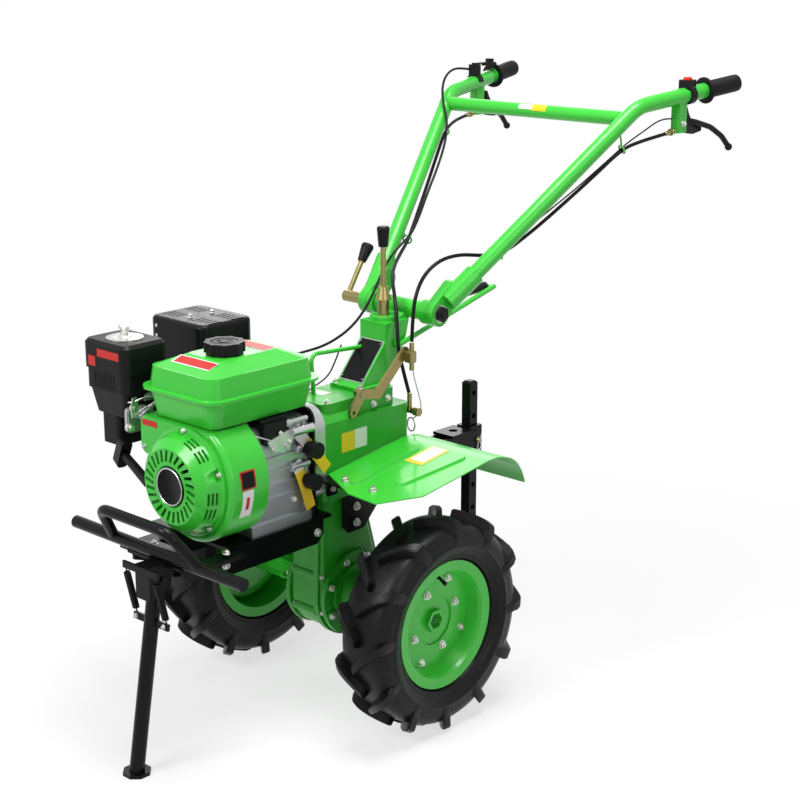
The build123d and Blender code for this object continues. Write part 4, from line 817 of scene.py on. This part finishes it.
FAN_R, CROSSBAR_R = 108, 14
for name, front, back, low, high, finish, lift in (
    ("fan_label_red", -324, -291, 0.5, 17.5, label_red, 0.5),
    ("fan_label_black", -321, -294, 1.8, 16, label_black, 0.9),
    ("fan_stripe_white", -321, -297, -27, -0.6, label_white, 0.5),
    ("fan_stripe_red", -312, -305.5, -19, -7, label_red, 0.9),
):
    start, end = spot(0, front, CRANKSHAFT_Z), spot(0, back, CRANKSHAFT_Z)
    wrapped_label(name, start, end, FAN_R, low, high, finish, "chassis", lift)
for name, right, left, low, high, finish in (
    ("crossbar_label_white", -26, 8, 120, 165, label_white),
    ("crossbar_label_yellow", 8, 43, 110, 172, label_yellow),
):
    start, end = spot(right, 560.95, 1040.6), spot(left, 560.95, 1040.6)
    wrapped_label(name, start, end, CROSSBAR_R, low, high, finish, "handlebar")


def tag(name, top, low, colour_break, width=22):
    """A card tag that hangs beside the engine, yellow with a white head."""
    half = (low - top).normalized().cross(Vector(TO_LEFT)) * width / 2000
    for part, start, end, finish in (
        ("white", top, top.lerp(low, colour_break), label_white),
        ("yellow", top.lerp(low, colour_break), low, label_yellow),
    ):
        bm = bmesh.new()
        rows = []
        for step in range(7):
            middle = start.lerp(end, step / 6)
            share = (middle - top).length / (low - top).length
            bow = 0.003 * sin(share * pi) + 0.004 * share
            rows.append([
                bm.verts.new(middle + Vector((bow + thick, 0, 0)) + edge * half)
                for thick in (0, 0.0007) for edge in (-1, 1)
            ])
        bar(bm, rows)
        as_piece(f"{name}_{part}", settle(bm, "tag"), finish, smooth=50)


tag("upper_tag", spot(63, -152, 545), spot(70, -92, 468), 0.24)
tag("lower_tag", spot(63, -158, 494), spot(66, -130, 404), 0.2)

# Air cleaner: cover disc with its wing nut, and ribs on the lower body
CLEANER_TOP = spot(-203, -311, 699)
turned("air_cleaner_disc", bolt_zinc, [
    (0, 0), (33, 0), (33, 1.6), (30, 2.6), (13, 2.2), (11, 4.5), (7, 5.5), (7, 9), (0, 9),
], CLEANER_TOP, UP, 48)
WING = [(2, 0), (7, -1), (15, 7), (13, 12), (9, 11), (3, 5)]
bm = bmesh.new()
lathe(bm, [(0, 9), (5.5, 9), (4.2, 15), (0, 15)], placed(CLEANER_TOP, UP), 20)
for side, word in SIDES:
    outline = [(side * x, y) for x, y in WING[::side]]
    plate(bm, outline, placed(spot(-203, -309.5, 709), TO_FRONT, TO_LEFT), 3, 0.6)
as_piece("air_cleaner_wing_nut", settle(bm, "wing_nut"), bolt_zinc)

rib = bmesh.new()
plate(rib, rounded(2.4, 30, 1), Matrix.Identity(4), 1.6)
copies_along.grow(
    "air_cleaner_ribs", settle(rib, "rib"), plastic,
    matrix=placed(spot(-230, -355.4, 630), TO_FRONT, TO_LEFT), Copies=9, Step=(0.0065, 0, 0),
)

# Muffler: rivets down the guard's front
bm = bmesh.new()
for z in (690, 672, 654):
    lathe(bm, [(3.2, 0), (3.2, 0.8), (1.8, 1.5), (0, 1.5)], placed(spot(-268, -188, z), TO_FRONT), 14)
as_piece("muffler_rivets", settle(bm, "rivets"), steel)

# Fuel cap: the raised middle of its top
turned("fuel_cap_middle", plastic, [
    (25.5, 0.2), (24.5, 2.4), (22, 3.4), (15, 3.6), (14, 2.6), (11.5, 2.6), (10.5, 3.4), (5, 3.9), (0, 4),
], spot(-20, -241, 707), UP, 48)

# Crankcase: machined bosses beside the engine plate, and the air vane's rod and spring
bm = bmesh.new()
for y, z, reach, size in ((-172, 487, 44, 8), (-160, 517, 26, 7.5), (-182, 569, 50, 7)):
    neck = size - 2.4
    lathe(bm, [(0, 0), (size - 2, 0), (size, 1.5), (size, 7), (neck, 8), (neck, reach), (0, reach)],
          placed(spot(64, y, z), TO_BACK))
as_piece("crankcase_bosses", settle(bm, "bosses"), alloy_cast)
wire("governor_rod", steel, 2.6, [(72, -224, 549), (72, -240, 556), (66, -262, 566), (58, -284, 577)])
coil("governor_spring", steel, spot(73, -176, 548), (0, 30, 10), 11.0, 0.0032, 0.03, 0.0006)

# Carburettor: choke and throttle rods, their levers and the idle screws
wire("choke_rod", steel, 3.4, [
    (-150, -350, 600), (-139, -348, 601), (-137, -330, 606), (-137, -306, 604), (-139, -284, 596),
    (-150, -272, 590),
])
wire("throttle_rod", steel, 2.6, [
    (-150, -346, 578), (-138, -343, 580), (-136, -320, 590), (-134, -296, 596), (-130, -272, 600),
    (-108, -262, 598),
])
coil("throttle_spring", steel, spot(-134, -340, 574), (0, 40, 22), 13.0, 0.0036, 0.042, 0.0007)
bm = bmesh.new()
for outline, place in (
    ([(-7, -16), (6, -18), (9, 4), (5, 20), (-4, 19), (-8, 2)], spot(-141, -345, 590)),
    ([(-12, -5), (12, -6), (14, 3), (3, 8), (-10, 6)], spot(-141, -312, 604)),
):
    plate(bm, outline, placed(place, TO_LEFT, TO_BACK), 2.4)
for profile, place in (
    ([(0, 0), (6.5, 0), (6.5, 5), (4, 6), (4, 10), (0, 10)], spot(-146, -345, 590)),
    ([(0, 0), (5, 0), (5, 5), (3, 6), (3, 9), (0, 9)], spot(-146, -312, 605)),
    ([(0, 0), (8, 0), (8, 7), (5, 8), (5, 12), (0, 12)], spot(-150, -352, 556)),
):
    lathe(bm, profile, placed(place, TO_LEFT), 18)
as_piece("choke_levers", settle(bm, "choke_levers"), bolt_zinc)
bm = bmesh.new()
lathe(bm, [(0, 0), (13, 0), (14, 2), (14, 22), (12, 25), (0, 25)], placed(spot(-160, -318, 575), TO_LEFT), 28)
plate(bm, rounded(34, 46, 8), placed(spot(-160, -336, 566), TO_LEFT, TO_BACK), 10, 2)
as_piece("carburettor_intake", settle(bm, "intake"), alloy_cast)
bm = bmesh.new()
for outline, place in (
    ([(-5, -4), (5, -5), (8, 14), (3, 26), (-3, 24), (-6, 12)], spot(-200, -274, 590)),
    ([(-16, -4), (14, -6), (16, 2), (2, 6), (-14, 5)], spot(-176, -272, 600)),
):
    plate(bm, outline, placed(place, TO_FRONT, TO_LEFT), 2.4)
for profile, place in (
    ([(0, 0), (5.5, 0), (5.5, 6), (3, 7), (3, 15), (4.4, 15.5), (4.4, 19), (0, 19)], spot(-186, -268, 577)),
    ([(0, 0), (7, 0), (7, 4), (4, 5), (4, 9), (0, 9)], spot(-188, -268, 556)),
):
    lathe(bm, profile, placed(place, TO_FRONT), 18)
as_piece("carburettor_levers", settle(bm, "levers"), bolt_zinc)

# Stand springs: wound wire with a hook at each end
spring_top, spring_low = spot(0, -455.7, 356), spot(0, -436.2, 271)
pull = spring_low - spring_top
for side, word in SIDES:
    start = spring_top + Vector((side * 0.039, 0, 0)) + pull * 0.1
    spring = coil(
        "stand_spring_" + word, black_paint, start, pull, 24.0, 0.005, pull.length * 0.8, 0.0013, None
    )
    hooks = bmesh.new()
    for end, way in ((start, -1), (start + pull * 0.8, 1)):
        lathe(hooks, [(0, 0), (1.3, 0), (1.3, 9), (0, 9)], placed(end, pull * way), 10)
    hook = as_piece("stand_spring_hooks_" + word, settle(hooks, "hooks"), black_paint, None)
    for made in (spring, hook):
        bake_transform(made)
    if side == LEFT:
        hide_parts("stand_springs")

# Left handle: the stop switch's button
turned("stop_button", button_red, [(0, 0), (8.5, 0), (8.5, 3), (7.5, 5), (0, 5.5)],
       spot(257, 716.5, 1105.8), UP, 28, "handlebar")

# Hand levers: the black perch behind each bracket, and the cable's adjuster before it
PERCH = [(0, 0), (0, 42), (7, 44), (14, 30), (26, 14), (60, 6), (60, -8), (30, -12), (4, -8)]
ADJUSTER = [
    (0, -12), (5, -12), (5.8, -11), (5.8, -7), (5, -6), (5, -4), (7, -3.4), (7, 0), (5, 0.6), (5, 10),
    (4.2, 14), (3.4, 15), (0, 15),
]
for side, word in SIDES:
    bm = bmesh.new()
    plate(bm, PERCH, placed(spot(side * 252.5, 706, 1012), TO_LEFT, TO_BACK), 10, 1.6)
    as_piece("lever_perch_" + word, settle(bm, "perch"), black_paint, "handlebar")
    run = (spot(side * 250, 634, 1004) - spot(side * 255, 672, 1009)).normalized()
    turned("cable_adjuster_" + word, zinc, ADJUSTER, spot(side * 254, 668, 1008.5), run, 20, "handlebar")
wire("switch_wire", sleeve, 3, [
    (256, 716, 1090), (243, 716, 1070), (246, 712, 1044), (248, 690, 1032), (244, 668, 1034), (238, 646, 1030),
    (234, 620, 1018), (229, 588, 1004), (226, 560, 992), (214, 530, 968), (190, 470, 921), (166, 424, 884),
    (140, 368, 842), (122, 330, 809),
], "handlebar")
bm = bmesh.new()
plate(bm, rounded(15, 40, 5), placed(spot(-255, 731, 1107), (-0.15, 0, 1), TO_LEFT), 6, 1.6)
as_piece("throttle_thumb_piece", settle(bm, "thumb_piece"), plastic, "handlebar")

# The clutch cable's inner wire, from its adjuster to the pull ring
wire("clutch_inner_wire", steel, 2.2, [
    (74, 128, 632), (75, 130, 600), (74, 146, 560), (76, 154, 530), (66, 154, 512), (54, 153, 504),
])
wire("pull_ring", steel, 3, [
    (50 + 10 * cos(pi / 4 * corner), 153, 492 + 14 * sin(pi / 4 * corner)) for corner in range(8)
], cyclic=True)

# Crank: the black knob on its arm, and the washer and dark nut at the pivot's other end
crank_end, pivot_end = spot(-152, 237, 776), spot(94, 183.5, 705)
crank_way = (crank_end - spot(-145, 183.5, 705)).normalized()
turned("crank_knob", plastic, [
    (0, -14), (7.5, -14), (8.5, -12), (12, 14), (12.6, 18), (11.5, 22), (8, 24), (0, 24.6),
], crank_end, crank_way, 28, "handlebar")
turned("pivot_washer", bolt_zinc, [(0, 0.2), (15.5, 0.2), (16.5, 0.8), (16.5, 2), (0, 2)],
       pivot_end, TO_LEFT, 32, "handlebar")
bm = bmesh.new()
lathe(bm, [(0, 2), (14.5, 2), (15, 2.8), (15, 8.4), (13.4, 9.6), (0, 9.6)], placed(pivot_end, TO_LEFT), 6)
lathe(bm, [(0, 9.4), (7, 9.4), (6.4, 12), (0, 12)], placed(pivot_end, TO_LEFT), 18)
as_piece("pivot_nut", settle(bm, "nut"), plastic, "handlebar", 25)

# Fuel hose, spark plug lead and the stop switch's wire
wire("fuel_hose", sleeve, 6.5, [
    (-96, -268, 583), (-112, -272, 572), (-132, -270, 560), (-152, -262, 560), (-171, -258, 566),
], sides=8)
wire("spark_plug_lead", sleeve, 6, [
    (-216, -196, 574), (-232, -216, 566), (-236, -244, 552), (-214, -268, 530), (-176, -272, 516),
    (-140, -268, 512),
], sides=8)
wire("stop_wire", sleeve, 3, [
    (-60, 80, 640), (-58, 62, 612), (-56, 40, 586), (-40, -20, 579), (-8, -80, 580), (24, -130, 578),
    (40, -170, 578),
])

# Pin and clip of the stake's sleeve: the pin's two ends, so that the stake slides between them
bm = bmesh.new()
for x, profile in (
    (-27, [(0, -4), (8.5, -4), (8.5, 0), (4.8, 0), (4.8, 14), (0, 14)]),
    (13, [(0, 0), (4.8, 0), (4.8, 12), (3.6, 14), (0, 14)]),
):
    lathe(bm, profile, placed(spot(x, 380, 404), TO_LEFT), 20)
as_piece("stake_pin", settle(bm, "stake_pin"), zinc)
wire("stake_clip", steel, 2.4, [
    (24, 380, 412), (24, 380, 397), (24, 376, 388), (24, 384, 383), (24, 389, 392), (24, 384, 404),
    (24, 389, 416),
])
